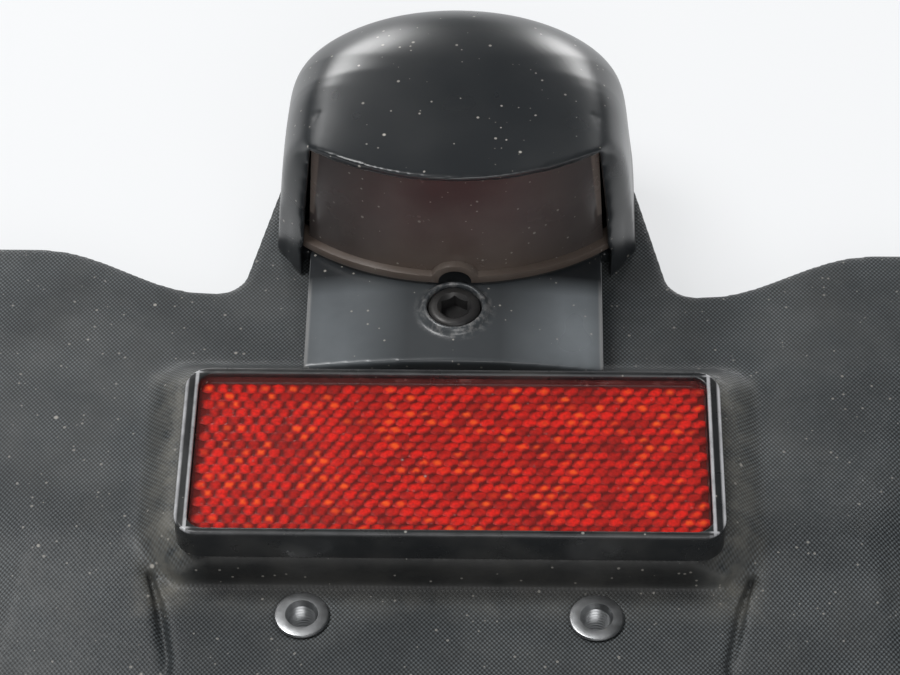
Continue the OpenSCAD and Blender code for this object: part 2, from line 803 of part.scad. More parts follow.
module reflector_lens() {
  w = refl_w - 2 * refl_rim - 2 * seat_gap;
  l = refl_l - 2 * refl_rim_y - 2 * seat_gap;
  color("#c8170c") translate([0, 0, refl_lens_top - refl_lens_t])
    rounded_plate(w, l, refl_r - refl_rim - seat_gap, refl_lens_t);
  color("#c8170c") prism_field(w - 2 * refl_ledge - 2 * prism_border, l - 2 * refl_ledge - 2 * prism_border);
}

// Field of small pyramids under the lens, row by row, each second row half a pitch aside
module prism_field(w, l) {
  nx = 2 * floor(w / prism_pitch);
  ny = 2 * floor(l / prism_row / 2);
  top = refl_lens_top - refl_lens_t + 0.2;
  function depth(i, j) = (i == 0 || j == 0 || i == nx || j == ny) ? 0.2
    : (j % 2 == 1 && (i + (j % 4 == 1 ? 0 : 1)) % 2 == 1) ? prism_depth + 0.2 : 0.2 + prism_depth * 0.12;
  xs = [for (i = [0 : nx]) (i / nx - 0.5) * nx * prism_pitch / 2];
  ys = [for (j = [0 : ny]) (j / ny - 0.5) * ny * prism_row];
  n = nx + 1;
  low = [for (j = [0 : ny]) for (i = [0 : nx]) [xs[i], ys[j], top - depth(i, j)]];
  border = concat([for (i = [0 : nx]) i], [for (j = [1 : ny]) j * n + nx],
                  [for (i = [nx - 1 : -1 : 0]) ny * n + i], [for (j = [ny - 1 : -1 : 1]) j * n]);
  b = len(border);
  high = [for (k = border) [low[k][0], low[k][1], top]];
  middle = len(low) + b;
  polyhedron(points = concat(low, high, [[0, 0, top]]), faces = concat(
    [for (j = [0 : ny - 1]) for (i = [0 : nx - 1]) [j * n + i, j * n + i + 1, (j + 1) * n + i + 1]],
    [for (j = [0 : ny - 1]) for (i = [0 : nx - 1]) [j * n + i, (j + 1) * n + i + 1, (j + 1) * n + i]],
    [for (k = [0 : b - 1]) [border[(k + 1) % b], border[k], len(low) + k, len(low) + (k + 1) % b]],
    [for (k = [0 : b - 1]) [len(low) + (k + 1) % b, len(low) + k, middle]]
  ));
}

module reflector_studs() {
  color("#a9abac") translate([0, 0, refl_z + refl_back]) pair_x(stud_dx) {
    cylinder(r = stud_head_r, h = stud_head_t);
    translate([0, 0, -stud_len]) cylinder(r = stud_r, h = stud_len + 0.1);
  }
}

module reflector_washers() {
  color("#8f9193") translate([0, 0, pad_h - skin_t - 1]) pair_x(stud_dx) washer(stud_r + 0.2, m5_washer_r, 1);
}

module reflector_nuts() {
  color("#9a9c9e") translate([0, 0, pad_h - skin_t - 1 - m5_nut_h]) pair_x(stud_dx)
    hex_nut(stud_r + 0.03, m5_nut_r, m5_nut_h);
}

bracket();
rear_inserts();
plate_rivet_nuts();
lamp_housing();
lamp_lens();
lens_gasket();
bulb_glass();
bulb_filament();
bulb_socket();
socket_seal();
socket_terminals();
socket_boot();
lamp_screw();
lamp_screw_washer();
lamp_nut_washer();
lamp_nut();
reflector_frame();
reflector_lens();
reflector_studs();
reflector_washers();
reflector_nuts();
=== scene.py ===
import json
import math

import bpy
from mathutils import Matrix, Vector

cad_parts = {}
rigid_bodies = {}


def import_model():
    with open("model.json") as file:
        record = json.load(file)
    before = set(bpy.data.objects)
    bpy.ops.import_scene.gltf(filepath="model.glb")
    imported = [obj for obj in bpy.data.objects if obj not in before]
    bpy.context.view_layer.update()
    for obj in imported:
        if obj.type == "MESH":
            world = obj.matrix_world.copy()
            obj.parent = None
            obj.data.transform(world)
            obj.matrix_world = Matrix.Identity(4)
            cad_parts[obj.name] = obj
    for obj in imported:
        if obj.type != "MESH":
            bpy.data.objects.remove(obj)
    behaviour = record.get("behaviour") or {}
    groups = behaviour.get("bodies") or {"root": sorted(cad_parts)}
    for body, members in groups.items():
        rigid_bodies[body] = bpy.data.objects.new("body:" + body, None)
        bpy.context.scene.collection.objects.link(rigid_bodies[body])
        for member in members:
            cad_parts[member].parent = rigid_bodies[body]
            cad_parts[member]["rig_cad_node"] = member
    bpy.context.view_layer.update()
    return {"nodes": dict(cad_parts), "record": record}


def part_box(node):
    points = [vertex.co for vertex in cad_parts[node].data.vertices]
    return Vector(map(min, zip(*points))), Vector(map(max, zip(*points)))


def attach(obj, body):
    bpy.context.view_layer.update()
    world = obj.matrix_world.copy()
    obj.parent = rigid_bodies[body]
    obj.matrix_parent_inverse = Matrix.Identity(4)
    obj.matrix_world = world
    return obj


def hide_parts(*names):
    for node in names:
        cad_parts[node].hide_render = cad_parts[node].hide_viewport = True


bl_info = {
    "name": "Plate holder",
    "version": (1, 0, 0),
    "blender": (4, 5, 0),
    "location": "3D Viewport > Sidebar > Plate holder",
    "description": "Models the visible surfaces of a motorcycle plate holder round its CAD frame",
    "category": "Object",
}

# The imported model: every new piece takes its place and its main sizes from it
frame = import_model()
MM = 0.001
BODY = "root"


# Places read from the frame

NODE_BOXES = {node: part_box(node) for node in frame["nodes"]}


def low(node):
    return Vector(NODE_BOXES[node][0])


def high(node):
    return Vector(NODE_BOXES[node][1])


def size(node):
    return high(node) - low(node)


def middle(node):
    return (low(node) + high(node)) / 2


def length_prop(name, description, default):
    """A length in metres that a user may change in the panel."""
    return bpy.props.FloatProperty(
        name=name, description=description, default=default, min=0.0, precision=5,
        unit="LENGTH", subtype="DISTANCE",
    )


def angle_prop(name, description, degrees):
    """An angle that the panel shows in degrees."""
    return bpy.props.FloatProperty(
        name=name, description=description, default=math.radians(degrees), unit="ROTATION", subtype="ANGLE",
    )


def colour_prop(name, description, default):
    """A colour in linear values."""
    return bpy.props.FloatVectorProperty(
        name=name, description=description, default=default, size=3, min=0.0, max=1.0, subtype="COLOR"
    )


class HolderSizes(bpy.types.PropertyGroup):
    skin_voxel: length_prop("Bracket detail", "Cell size that the bracket's skin is rebuilt with", 0.62 * MM)
    lamp_voxel: length_prop("Lamp detail", "Cell size that the lamp housing is rebuilt with", 0.42 * MM)
    hood_wall: length_prop("Hood wall", "Wall of the lamp's hood", 2.4 * MM)
    bow_radius: length_prop("Bow radius", "Radius of the bowed lamp window's edge, seen from above", 44 * MM)
    bow_front: length_prop("Bow front", "Foremost point of the window's edge along the height", 43 * MM)
    lens_step: length_prop("Lens step", "How far the window stands back from its flange", 1.5 * MM)
    frame_rim: length_prop("Reflector rim", "Width of the reflector's rim at its sides", 2.4 * MM)
    frame_rim_y: length_prop("Reflector upper rim", "Width of the rim above and below the face", 1.4 * MM)
    frame_corner: length_prop("Reflector corner", "Corner radius of the reflector's frame", 4.6 * MM)
    prism_pitch: length_prop("Prism pitch", "Distance between the prisms across the width", 2.62 * MM)
    grain_pitch: length_prop("Grain pitch", "Distance between the dots of the moulded grain", 0.6 * MM)


class HolderColours(bpy.types.PropertyGroup):
    bracket: colour_prop("Bracket", "Grained plastic of the bracket", (0.013, 0.0142, 0.015))
    grain: colour_prop("Grain", "Light dots of the bracket's moulded grain", (0.098, 0.111, 0.117))
    lamp: colour_prop("Lamp", "Smooth plastic of the lamp housing", (0.014, 0.016, 0.018))
    smoke: colour_prop("Window", "Smoke-brown plastic of the lamp's window", (0.080, 0.057, 0.053))
    red: colour_prop("Reflector", "Red of the reflector's prisms", (0.86, 0.014, 0.006))
    glow: colour_prop("Bright prism", "Orange of the prisms that catch the light", (1.0, 0.11, 0.01))
    rim: colour_prop("Reflector rim", "Black plastic of the reflector's frame", (0.012, 0.013, 0.014))
    dust: colour_prop("Dust", "Fine dust that lies on every face", (0.50, 0.47, 0.42))
    floor: colour_prop("Floor", "Pale ground and backdrop", (0.88, 0.89, 0.90))


class HolderStudio(bpy.types.PropertyGroup):
    distance: length_prop("Camera distance", "From the camera to the point that it looks at", 0.587)
    elevation: angle_prop("Elevation", "Height of the camera above the holder's face", 49.42)
    swing: angle_prop("Swing", "How far the camera stands to the right", 1.47)
    roll: angle_prop("Roll", "Turn of the camera about its line of sight", -0.64)
    lens_mm: bpy.props.FloatProperty(
        name="Focal length", description="In millimetres, on a 36 mm sensor", default=123.84, min=1.0,
    )


def sizes():
    return bpy.context.scene.holder_sizes


def colours():
    return bpy.context.scene.holder_colours


def studio():
    return bpy.context.scene.holder_studio


# Modelling steps

def clear_selection():
    if bpy.context.object and bpy.context.object.mode != "OBJECT":
        bpy.ops.object.mode_set(mode="OBJECT")
    bpy.ops.object.select_all(action="DESELECT")


def activate(piece):
    clear_selection()
    piece.select_set(True)
    bpy.context.view_layer.objects.active = piece


def edit_all(piece):
    """Opens a piece in edit mode with everything selected."""
    activate(piece)
    bpy.ops.object.mode_set(mode="EDIT")
    bpy.ops.mesh.select_all(action="SELECT")


def leave_edit():
    bpy.ops.object.mode_set(mode="OBJECT")


def apply_modifier(piece, kind, **settings):
    """Adds one modifier, sets it and applies it."""
    modifier = piece.modifiers.new(kind.title(), kind)
    for key, value in settings.items():
        setattr(modifier, key, value)
    activate(piece)
    bpy.ops.object.modifier_apply(modifier=modifier.name)


def round_edges(piece, width, segments, degrees):
    """Bevels every edge that is sharper than an angle."""
    apply_modifier(piece, "BEVEL", width=width, segments=segments, limit_method="ANGLE",
                   angle_limit=math.radians(degrees))


def soften(piece, weight_of, turns):
    """Smooths a piece only where the given rule weighs its points more than nothing."""
    group = piece.vertex_groups.new(name="soft")
    for vertex in piece.data.vertices:
        weight = weight_of(vertex.co)
        if weight > 0.01:
            group.add([vertex.index], weight, "REPLACE")
    apply_modifier(piece, "SMOOTH", factor=0.5, iterations=turns, vertex_group="soft")
    piece.vertex_groups.clear()


def ease(value, start, end):
    """Goes smoothly from 0 to 1 between two values, also downwards."""
    t = min(max((value - start) / (end - start), 0.0), 1.0)
    return t * t * (3 - 2 * t)


def cut(piece, tool, operation="DIFFERENCE"):
    """Boolean of a piece with a tool solid, which is then deleted."""
    apply_modifier(piece, "BOOLEAN", object=tool, operation=operation, solver="EXACT")
    bpy.data.objects.remove(tool)
    if not piece.data.polygons:
        raise RuntimeError(piece.name + ": nothing is left after a cut")
    return piece


def join(piece, *others):
    activate(piece)
    for other in others:
        other.select_set(True)
    bpy.ops.object.join()
    return piece


def outward(piece):
    edit_all(piece)
    bpy.ops.mesh.normals_make_consistent(inside=False)
    leave_edit()


def solid_from_outline(name, points, rise):
    """Prism: an outline of 3-D points, filled and extruded by a vector."""
    clear_selection()
    bpy.ops.mesh.primitive_circle_add(vertices=len(points), radius=1, fill_type="NGON")
    piece = bpy.context.object
    piece.name = name
    for vertex, point in zip(piece.data.vertices, points):
        vertex.co = point
    edit_all(piece)
    bpy.ops.mesh.extrude_region_move(TRANSFORM_OT_translate={"value": rise})
    leave_edit()
    outward(piece)
    return piece


def lofted_solid(name, sides, levels, place):
    """Closed form: a disc extruded level by level, each vertex then placed by its turn and level."""
    clear_selection()
    bpy.ops.mesh.primitive_circle_add(vertices=sides, radius=1, fill_type="NGON")
    piece = bpy.context.object
    piece.name = name
    edit_all(piece)
    for _ in range(levels):
        bpy.ops.mesh.extrude_region_move(TRANSFORM_OT_translate={"value": (0, 0, 1)})
    leave_edit()
    for vertex in piece.data.vertices:
        turn = math.atan2(vertex.co.y, vertex.co.x)
        vertex.co = place(turn, round(vertex.co.z) / levels)
    outward(piece)
    return piece


def block(name, corner, opposite):
    """Plain box between two corners, used as a cutting tool or a start."""
    clear_selection()
    a = Vector(corner)
    b = Vector(opposite)
    bpy.ops.mesh.primitive_cube_add(size=1, location=(a + b) / 2, scale=b - a)
    piece = bpy.context.object
    piece.name = name
    bpy.ops.object.transform_apply(location=True, rotation=True, scale=True)
    return piece


def rod(name, start, end, radius, sides=96):
    """Cylinder between two points, used as a cutting tool or a start."""
    clear_selection()
    a = Vector(start)
    b = Vector(end)
    turn = (b - a).to_track_quat("Z", "Y").to_euler()
    bpy.ops.mesh.primitive_cylinder_add(
        vertices=sides, radius=radius, depth=(b - a).length, location=(a + b) / 2, rotation=turn
    )
    piece = bpy.context.object
    piece.name = name
    bpy.ops.object.transform_apply(location=True, rotation=True, scale=True)
    return piece


def turned_solid(name, profile, centre, steps=72):
    """Lathe work: a closed profile of (radius, height) spun round an upright axis through a centre."""
    clear_selection()
    bpy.ops.mesh.primitive_circle_add(vertices=len(profile), radius=1, fill_type="NOTHING")
    piece = bpy.context.object
    piece.name = name
    c = Vector(centre)
    for vertex, (radius, height) in zip(piece.data.vertices, profile):
        vertex.co = (c.x + radius, c.y, c.z + height)
    edit_all(piece)
    bpy.ops.mesh.spin(steps=steps, angle=2 * math.pi, center=c, axis=(0, 0, 1))
    bpy.ops.mesh.select_all(action="SELECT")
    bpy.ops.mesh.remove_doubles(threshold=0.001 * MM)
    bpy.ops.mesh.normals_make_consistent(inside=False)
    leave_edit()
    return piece


def merged_copy(node, name):
    """Copy of a CAD node's mesh with its loose triangles joined and its flat faces made whole."""
    source = frame["nodes"].get(node)
    if source is None:
        raise RuntimeError("The frame has no node " + node)
    piece = source.copy()
    piece.data = source.data.copy()
    piece.name = name
    piece.pop("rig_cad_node", None)
    piece.parent = None
    piece.matrix_world = Matrix.Identity(4)
    bpy.context.scene.collection.objects.link(piece)
    piece.data.materials.clear()
    edit_all(piece)
    bpy.ops.mesh.remove_doubles(threshold=0.0005 * MM)
    bpy.ops.mesh.dissolve_limited(angle_limit=math.radians(0.4))
    leave_edit()
    return piece


def smooth(piece, degrees=32):
    activate(piece)
    bpy.ops.object.shade_smooth_by_angle(angle=math.radians(degrees))


def copy_along(piece, shift, name):
    """Copy of a finished piece with its own mesh, moved by a vector."""
    twin = piece.copy()
    twin.data = piece.data.copy()
    twin.name = name
    bpy.context.scene.collection.objects.link(twin)
    twin.data.transform(Matrix.Translation(shift))
    return twin


def hand_over(piece, name, material, slot, *nodes):
    """Names a finished piece, gives it its material, ties it to the CAD body and hides the CAD nodes that it
    takes the place of.
    """
    if not piece.data.polygons:
        raise RuntimeError(name + ": the piece has no faces")
    piece.name = name
    piece.data.name = name
    piece.data.materials.clear()
    piece.data.materials.append(material)
    for face in piece.data.polygons:
        face.material_index = 0
    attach(piece, BODY)
    if nodes:
        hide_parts(*nodes)
    return piece


# Shades of dirt and wear, painted shadow, painted highlights and painted sheen, and inner shades of the clear
# pieces, in linear values

DIRT = (0.17, 0.16, 0.135, 1.0)
# Painted shadow on the pad's wall under the reflector
PAINTED_PAD_SHADOW = (0.010, 0.010, 0.010, 1.0)
# Thin dust film and painted bluish sheen of the lamp's base plate
PLATE_DUST_AND_SHEEN = (0.155, 0.17, 0.18, 1.0)
# Worn ring round the screw, and painted highlight along the base plate's edges
RUBBED_AND_EDGE_HIGHLIGHT = (0.30, 0.29, 0.28, 1.0)
# Scuffed wear and painted highlight along the reflector rim's edges
RIM_WEAR_AND_HIGHLIGHT = (0.40, 0.40, 0.41, 1.0)
SMOKE_FOOT = (0.095, 0.072, 0.058, 1.0)
SMOKE_RED = (0.052, 0.026, 0.028, 1.0)
SMOKE_SIDE = (0.045, 0.040, 0.040, 1.0)
SMOKE_STRIP = (0.19, 0.155, 0.135, 1.0)
SMOKE_EDGE = (0.088, 0.067, 0.055, 1.0)
CLEAR_RED = (0.30, 0.006, 0.004, 1.0)
DEEP_RED = (0.085, 0.003, 0.003, 1.0)
GLASS = (0.9, 0.93, 0.95, 1.0)
BLACK = (0.0, 0.0, 0.0, 1.0)


def paint(name):
    """Colour from the panel, with its alpha."""
    return (*getattr(colours(), name), 1.0)


# Material building

class Nodes:
    """Short way to write a material's nodes."""

    def __init__(self, name):
        old = bpy.data.materials.get(name)
        if old:
            bpy.data.materials.remove(old)
        self.material = bpy.data.materials.new(name)
        self.material.use_nodes = True
        self.tree = self.material.node_tree
        self.tree.nodes.clear()
        self.out = self.tree.nodes.new("ShaderNodeOutputMaterial")
        self.place = self.tree.nodes.new("ShaderNodeTexCoord").outputs["Object"]

    def add(self, kind, settings=None, **inputs):
        node = self.tree.nodes.new("ShaderNode" + kind)
        for key, value in (settings or {}).items():
            setattr(node, key, value)
        for key, value in inputs.items():
            self.feed(node.inputs[key.replace("_", " ")], value)
        return node

    def feed(self, socket, value):
        if isinstance(value, bpy.types.NodeSocket):
            self.tree.links.new(value, socket)
        else:
            socket.default_value = value

    def math(self, operation, a, b=0.0, clamp=False):
        node = self.add("Math", {"operation": operation, "use_clamp": clamp})
        self.feed(node.inputs[0], a)
        self.feed(node.inputs[1], b)
        return node.outputs[0]

    def times(self, first, *others):
        for other in others:
            first = self.math("MULTIPLY", first, other)
        return first

    def most(self, first, *others):
        for other in others:
            first = self.math("MAXIMUM", first, other)
        return first

    def plus(self, a, b):
        return self.math("ADD", a, b)

    def minus(self, a, b):
        return self.math("SUBTRACT", a, b)

    def mix(self, factor, a, b):
        """Colour between a and b."""
        node = self.add("Mix", {"data_type": "RGBA"}, Factor=factor)
        self.feed(node.inputs[6], a)
        self.feed(node.inputs[7], b)
        return node.outputs[2]

    def ramp(self, factor, start, end, low=0.0, high=1.0):
        """Value that goes from low to high while factor goes from start to end."""
        node = self.add("MapRange", {"clamp": True}, Value=factor,
                        From_Min=start, From_Max=end, To_Min=low, To_Max=high)
        return node.outputs["Result"]

    def noise(self, scale, detail=2.0, roughness=0.5):
        node = self.add("TexNoise", Vector=self.place, Scale=scale, Detail=detail, Roughness=roughness)
        return node.outputs["Fac"]

    def clouds(self, scale, detail, low=0.0, high=1.0):
        """Noise spread over its usual range and turned into a value from low to high."""
        return self.ramp(self.noise(scale, detail), 0.3, 0.7, low, high)

    def axis(self, letter):
        return self.add("SeparateXYZ", Vector=self.place).outputs[letter]

    def aside(self, letter):
        """Distance from the middle along one axis, to either side."""
        return self.math("ABSOLUTE", self.axis(letter))

    def bump(self, height, strength, depth):
        return self.add("Bump", Height=height, Strength=strength, Distance=depth).outputs[0]

    def specks(self, spacing, share, radius):
        """Sparse round specks: spacing in metres, share of the cells that hold one, radius 0 to 0.5."""
        cells = self.add("TexVoronoi", {"feature": "F1"}, Vector=self.place, Scale=1.0 / spacing)
        luck = self.add("SeparateColor", Color=cells.outputs["Color"]).outputs
        chosen = self.math("GREATER_THAN", luck[0], 1 - share)
        inside = self.ramp(self.minus(self.times(luck[1], radius), cells.outputs["Distance"]), 0.0, 0.06)
        return self.times(chosen, inside)

    def dusty(self, haze, fine, coarse):
        """Dust cover from 0 to 1: a cloudy haze, many fine specks and a few coarse ones."""
        cloud = self.ramp(self.noise(55.0, 5.0, 0.62), 0.42, 0.78, 0.0, haze)
        grit = self.times(self.specks(1.1 * MM, 0.16, 0.30), fine)
        crumbs = self.times(self.specks(4.2 * MM, 0.20, 0.13), coarse)
        return self.math("MAXIMUM", cloud, self.most(grit, crumbs), clamp=True)

    def dusted(self, shade, haze, fine, coarse):
        """A shade with dust on it."""
        return self.mix(self.dusty(haze, fine, coarse), shade, paint("dust"))

    def finish(self, shader):
        self.feed(self.out.inputs["Surface"], shader.outputs[0])
        return self.material

    def coated(self, colour, roughness, **inputs):
        """The material with one shader all over it."""
        return self.finish(self.add("BsdfPrincipled", Base_Color=colour, Roughness=roughness, **inputs))


def grained_plastic():
    """Black bracket plastic with a diagonal grain of small light dots, dirt round the reflector's pad, and a
    painted shadow on the pad's wall under the reflector.
    """
    n = Nodes("grained_plastic")
    wave = math.pi / (0.71 * sizes().grain_pitch)
    upward = n.add("SeparateXYZ", Vector=n.add("TexCoord").outputs["Normal"]).outputs["Z"]
    across = n.math("SINE", n.times(n.axis("X"), wave))
    along = n.math("SINE", n.times(n.axis("Y"), wave * 0.86))
    dots = n.times(across, along, n.ramp(n.math("ABSOLUTE", upward), 0.5, 0.8))
    strength = n.ramp(n.noise(38.0, 4.0, 0.6), 0.35, 0.7, 0.5, 1.0)
    mottle = n.noise(900.0, 4.0, 0.7)
    grain = n.times(dots, strength, n.ramp(mottle, 0.3, 0.7, 0.6, 1.4))
    relief = n.bump(n.plus(n.times(grain, 0.5), n.times(mottle, 0.5)), 0.5, 0.12 * MM)
    shade = n.mix(n.ramp(grain, -0.3, 0.75), paint("bracket"), paint("grain"))
    cloud = n.ramp(n.noise(60.0, 5.0, 0.6), 0.35, 0.7, 0.75, 1.15)
    shade = n.add("VectorMath", {"operation": "SCALE"}, Vector=shade, Scale=cloud).outputs[0]
    # Dirt gathers round the pad, most of it beyond the pad's corners
    pad = high("reflector_frame")
    outside = n.most(n.minus(n.aside("X"), pad.x), n.minus(n.aside("Y"), pad.y))
    near = n.times(n.ramp(outside, 9 * MM, 2 * MM), n.ramp(n.noise(210.0, 6.0, 0.7), 0.3, 0.62),
                   n.ramp(n.aside("X"), 46 * MM, 52 * MM, 0.35, 1.0))
    shade = n.mix(n.times(near, 0.6), shade, DIRT)
    # Painted shadow: the pad's upright wall towards the plate, in shade under the reflector's frame, is painted
    # dark
    wall = n.times(n.ramp(n.axis("Y"), -24.5 * MM, -20.5 * MM), n.ramp(n.aside("X"), 50 * MM, 44 * MM),
                   n.ramp(n.axis("Y"), -17 * MM, -18 * MM))
    shade = n.mix(n.times(wall, 0.85), shade, PAINTED_PAD_SHADOW)
    return n.coated(n.dusted(shade, 0.05, 0.30, 0.55), n.ramp(mottle, 0.3, 0.7, 0.42, 0.6), Normal=relief,
                    Specular_IOR_Level=0.4)


def lamp_plastic():
    """Smooth black plastic of the lamp housing; its base plate carries a thin dust film, a painted bluish sheen
    on its side thirds, a worn ring beside the screw and a painted highlight along its side edges.
    """
    n = Nodes("lamp_plastic")
    plate = n.times(n.ramp(n.axis("Y"), 47 * MM, 42 * MM), n.ramp(n.axis("Z"), 26 * MM, 24.6 * MM))
    across = n.aside("X")
    # Painted sheen: the plate's side thirds, the right one more, are painted lighter and bluish as a painted
    # reflection, over a thin dust film that covers the whole plate
    sheen_thirds = n.times(n.ramp(across, 9 * MM, 21 * MM), n.ramp(across, BASE_HALF, 25.5 * MM, 0.55, 1.0))
    lean = n.ramp(n.axis("X"), -25 * MM, 25 * MM, 0.85, 1.1)
    patchy = n.ramp(n.noise(75.0, 4.0, 0.6), 0.3, 0.7, 0.75, 1.15)
    dust_and_sheen = n.times(plate, n.plus(0.22, n.times(n.times(sheen_thirds, lean, patchy), 0.62)))
    shade = n.mix(dust_and_sheen, paint("lamp"), PLATE_DUST_AND_SHEEN)
    # A worn, dusty ring round the screw's collar, and a painted highlight along the plate's two side edges
    from_screw = n.math("SQRT", n.plus(n.math("POWER", n.axis("X"), 2.0),
                                       n.math("POWER", n.minus(n.axis("Y"), middle("lamp_screw").y), 2.0)))
    ring = n.times(n.ramp(from_screw, 4.9 * MM, 5.4 * MM), n.ramp(from_screw, 8.2 * MM, 6 * MM), plate,
                   n.ramp(n.noise(700.0, 4.0, 0.7), 0.48, 0.66))
    edge = n.times(n.ramp(across, 27.7 * MM, 28.1 * MM), plate, 0.45)
    shade = n.mix(n.most(n.times(ring, 0.55), edge), shade, RUBBED_AND_EDGE_HIGHLIGHT)
    rough = n.ramp(n.noise(60.0, 2.0, 0.4), 0.3, 0.7, 0.27, 0.33)
    return n.coated(n.dusted(shade, 0.015, 0.5, 0.8), rough, Specular_IOR_Level=0.62,
                    Normal=n.bump(n.noise(900.0, 3.0), 0.06, 0.05 * MM))


def smoke_plastic():
    """Smoke-brown window, dull with dust: strips, foot and upper edge show lighter, the middle redder."""
    n = Nodes("smoke_plastic")
    across = n.aside("X")
    height = n.axis("Z")
    foot, top = low("lamp_lens").z, high("lamp_lens").z
    edge = n.ramp(height, foot, top, WINDOW_FOOT, WINDOW_TOP)
    strip = n.times(n.ramp(n.minus(edge, across), 1.9 * MM, 1.6 * MM),
                    n.ramp(height, foot + 9 * MM, foot + 9.6 * MM))
    arch = n.minus(top, n.times(across, across, 1 / (2 * WINDOW_ARCH)))
    crown = n.ramp(n.minus(arch, height), 0.75 * MM, 0.45 * MM)
    red = n.times(n.ramp(height, top - 15 * MM, top - 6 * MM), n.ramp(across, 22 * MM, 4 * MM))
    body = n.mix(n.ramp(height, foot + 16 * MM, foot + 2 * MM), paint("smoke"), SMOKE_FOOT)
    body = n.mix(n.times(red, 0.55), body, SMOKE_RED)
    body = n.mix(n.ramp(across, 10 * MM, 23 * MM, 0.0, 0.75), body, SMOKE_SIDE)
    body = n.mix(n.most(n.times(strip, 0.75), n.times(crown, 0.85)), body, SMOKE_STRIP)
    return n.coated(n.dusted(body, 0.05, 0.35, 0.7), n.clouds(120.0, 4.0, 0.16, 0.3), Alpha=0.98)


def smoke_edge():
    """Thick edge of the window, where more of the brown plastic shows."""
    n = Nodes("smoke_edge")
    return n.coated(n.dusted(SMOKE_EDGE, 0.10, 0.4, 0.7), 0.35)


def rim_plastic():
    """Black reflector frame; the light lines along both edges of its rim are scuffed wear and a painted
    highlight, strongest on the left and right sides.
    """
    n = Nodes("rim_plastic")
    half = high("reflector_frame")
    far_x, far_y = n.minus(n.aside("X"), half.x), n.minus(n.aside("Y"), half.y)
    outer = n.ramp(n.most(far_x, far_y), -0.75 * MM, -0.35 * MM)
    side = -sizes().frame_rim

    def inner_edge(far, rim, end, start):
        """Narrow band along the rim's inner edge, which fades outwards."""
        return n.times(n.ramp(far, rim - 0.1 * MM, rim + 0.05 * MM), n.ramp(far, rim + end, rim + start))

    inner_x = inner_edge(far_x, side, 0.7 * MM, 0.45 * MM)
    inner_y = inner_edge(far_y, -sizes().frame_rim_y, 0.5 * MM, 0.3 * MM)
    upper = n.ramp(n.axis("Z"), half.z - 0.8 * MM, half.z - 0.35 * MM)
    scuffed = n.ramp(n.noise(170.0, 5.0, 0.65), 0.3, 0.6, 0.45, 1.0)
    at_side = n.ramp(far_x, side - 1 * MM, side, 0.1, 1.0)
    # The light along the rim's outer and inner edges is scuffed wear together with a painted highlight of the
    # rounded edges
    wear_and_highlight = n.times(n.most(outer, n.most(inner_x, inner_y)), at_side, upper, scuffed)
    worn_and_highlit = n.mix(wear_and_highlight, paint("rim"), RIM_WEAR_AND_HIGHLIGHT)
    return n.coated(n.dusted(worn_and_highlit, 0.06, 0.45, 0.8), n.clouds(150.0, 4.0, 0.22, 0.42),
                    Normal=n.bump(n.noise(700.0, 3.0), 0.2, 0.05 * MM))


def red_cover():
    """Clear red face of the reflector, with dust along its upper edge."""
    n = Nodes("red_cover")
    edge = high("reflector_lens").y
    upper = n.times(n.ramp(n.axis("Y"), edge - 2 * MM, edge, 0.0, 0.3), n.ramp(n.noise(420.0, 5.0), 0.45, 0.7))
    dust = n.most(n.dusty(0.16, 0.3, 0.6), upper, 0.10)
    return n.coated(n.mix(dust, CLEAR_RED, paint("dust")), 0.12, Alpha=n.most(dust, 0.07),
                    Specular_IOR_Level=0.6)


def prism_red():
    """Red prisms with painted light and shade: bright blobs with dark gaps that run upright at the left and
    aslant at the right, and painted orange glints in some cells.
    """
    n = Nodes("prism_red")
    cell = n.add("SeparateXYZ", Vector=n.add("Attribute", {"attribute_name": "cell"}).outputs["Vector"])
    u, v = cell.outputs["X"], cell.outputs["Y"]
    spark, depth = (n.add("Attribute", {"attribute_name": name}).outputs["Fac"] for name in ("spark", "depth"))
    wobble = n.clouds(520.0, 2.0, -0.12, 0.12)
    lean = n.ramp(n.axis("X"), -34 * MM, -12 * MM, math.radians(86), math.radians(38))
    sin, cos = n.math("SINE", lean), n.math("COSINE", lean)
    across = n.minus(n.times(u, sin), n.times(v, cos))
    across = n.plus(n.math("ABSOLUTE", n.minus(across, 0.05)), wobble)
    along = n.math("ABSOLUTE", n.plus(n.times(u, cos), n.times(v, sin)))
    rib = n.ramp(n.noise(1500.0, 2.0), 0.35, 0.65, 0.55, 1.0)
    # Painted light: each cell's lit blob, with painted shade in the gaps between the cells
    lit_blob = n.times(n.ramp(across, 0.46, 0.14), n.ramp(along, 0.66, 0.26, 0.3, 1.0), rib)
    drift = n.clouds(85.0, 3.0, -0.25, 0.25)
    level = n.plus(n.times(depth, 0.75), drift)
    body = n.mix(n.times(lit_blob, n.ramp(level, -0.1, 0.6, 0.42, 1.2)), DEEP_RED, paint("red"))
    # Painted glints: orange cores in the cells that catch the light
    core = n.times(n.ramp(across, 0.30, 0.08), n.ramp(along, 0.34, 0.1))
    glint = n.times(n.ramp(n.plus(spark, n.times(drift, 0.6)), 0.66, 0.92), core)
    return n.coated(n.mix(glint, body, paint("glow")), 0.3, Specular_IOR_Level=0.3)


def plain_finish(name, colour, roughness, metallic=0.0, dust_level=0.3):
    """Dusty rubber, plastic or metal."""
    n = Nodes(name)
    shade = n.mix(n.clouds(300.0, 4.0, 0.0, 0.35), (*colour, 1.0), BLACK)
    surface = n.dusted(shade, 0.15 * dust_level, dust_level, dust_level)
    return n.coated(surface, n.clouds(260.0, 4.0, roughness - 0.07, roughness + 0.1), Metallic=metallic,
                    Normal=n.bump(n.noise(800.0, 3.0), 0.25, 0.06 * MM))


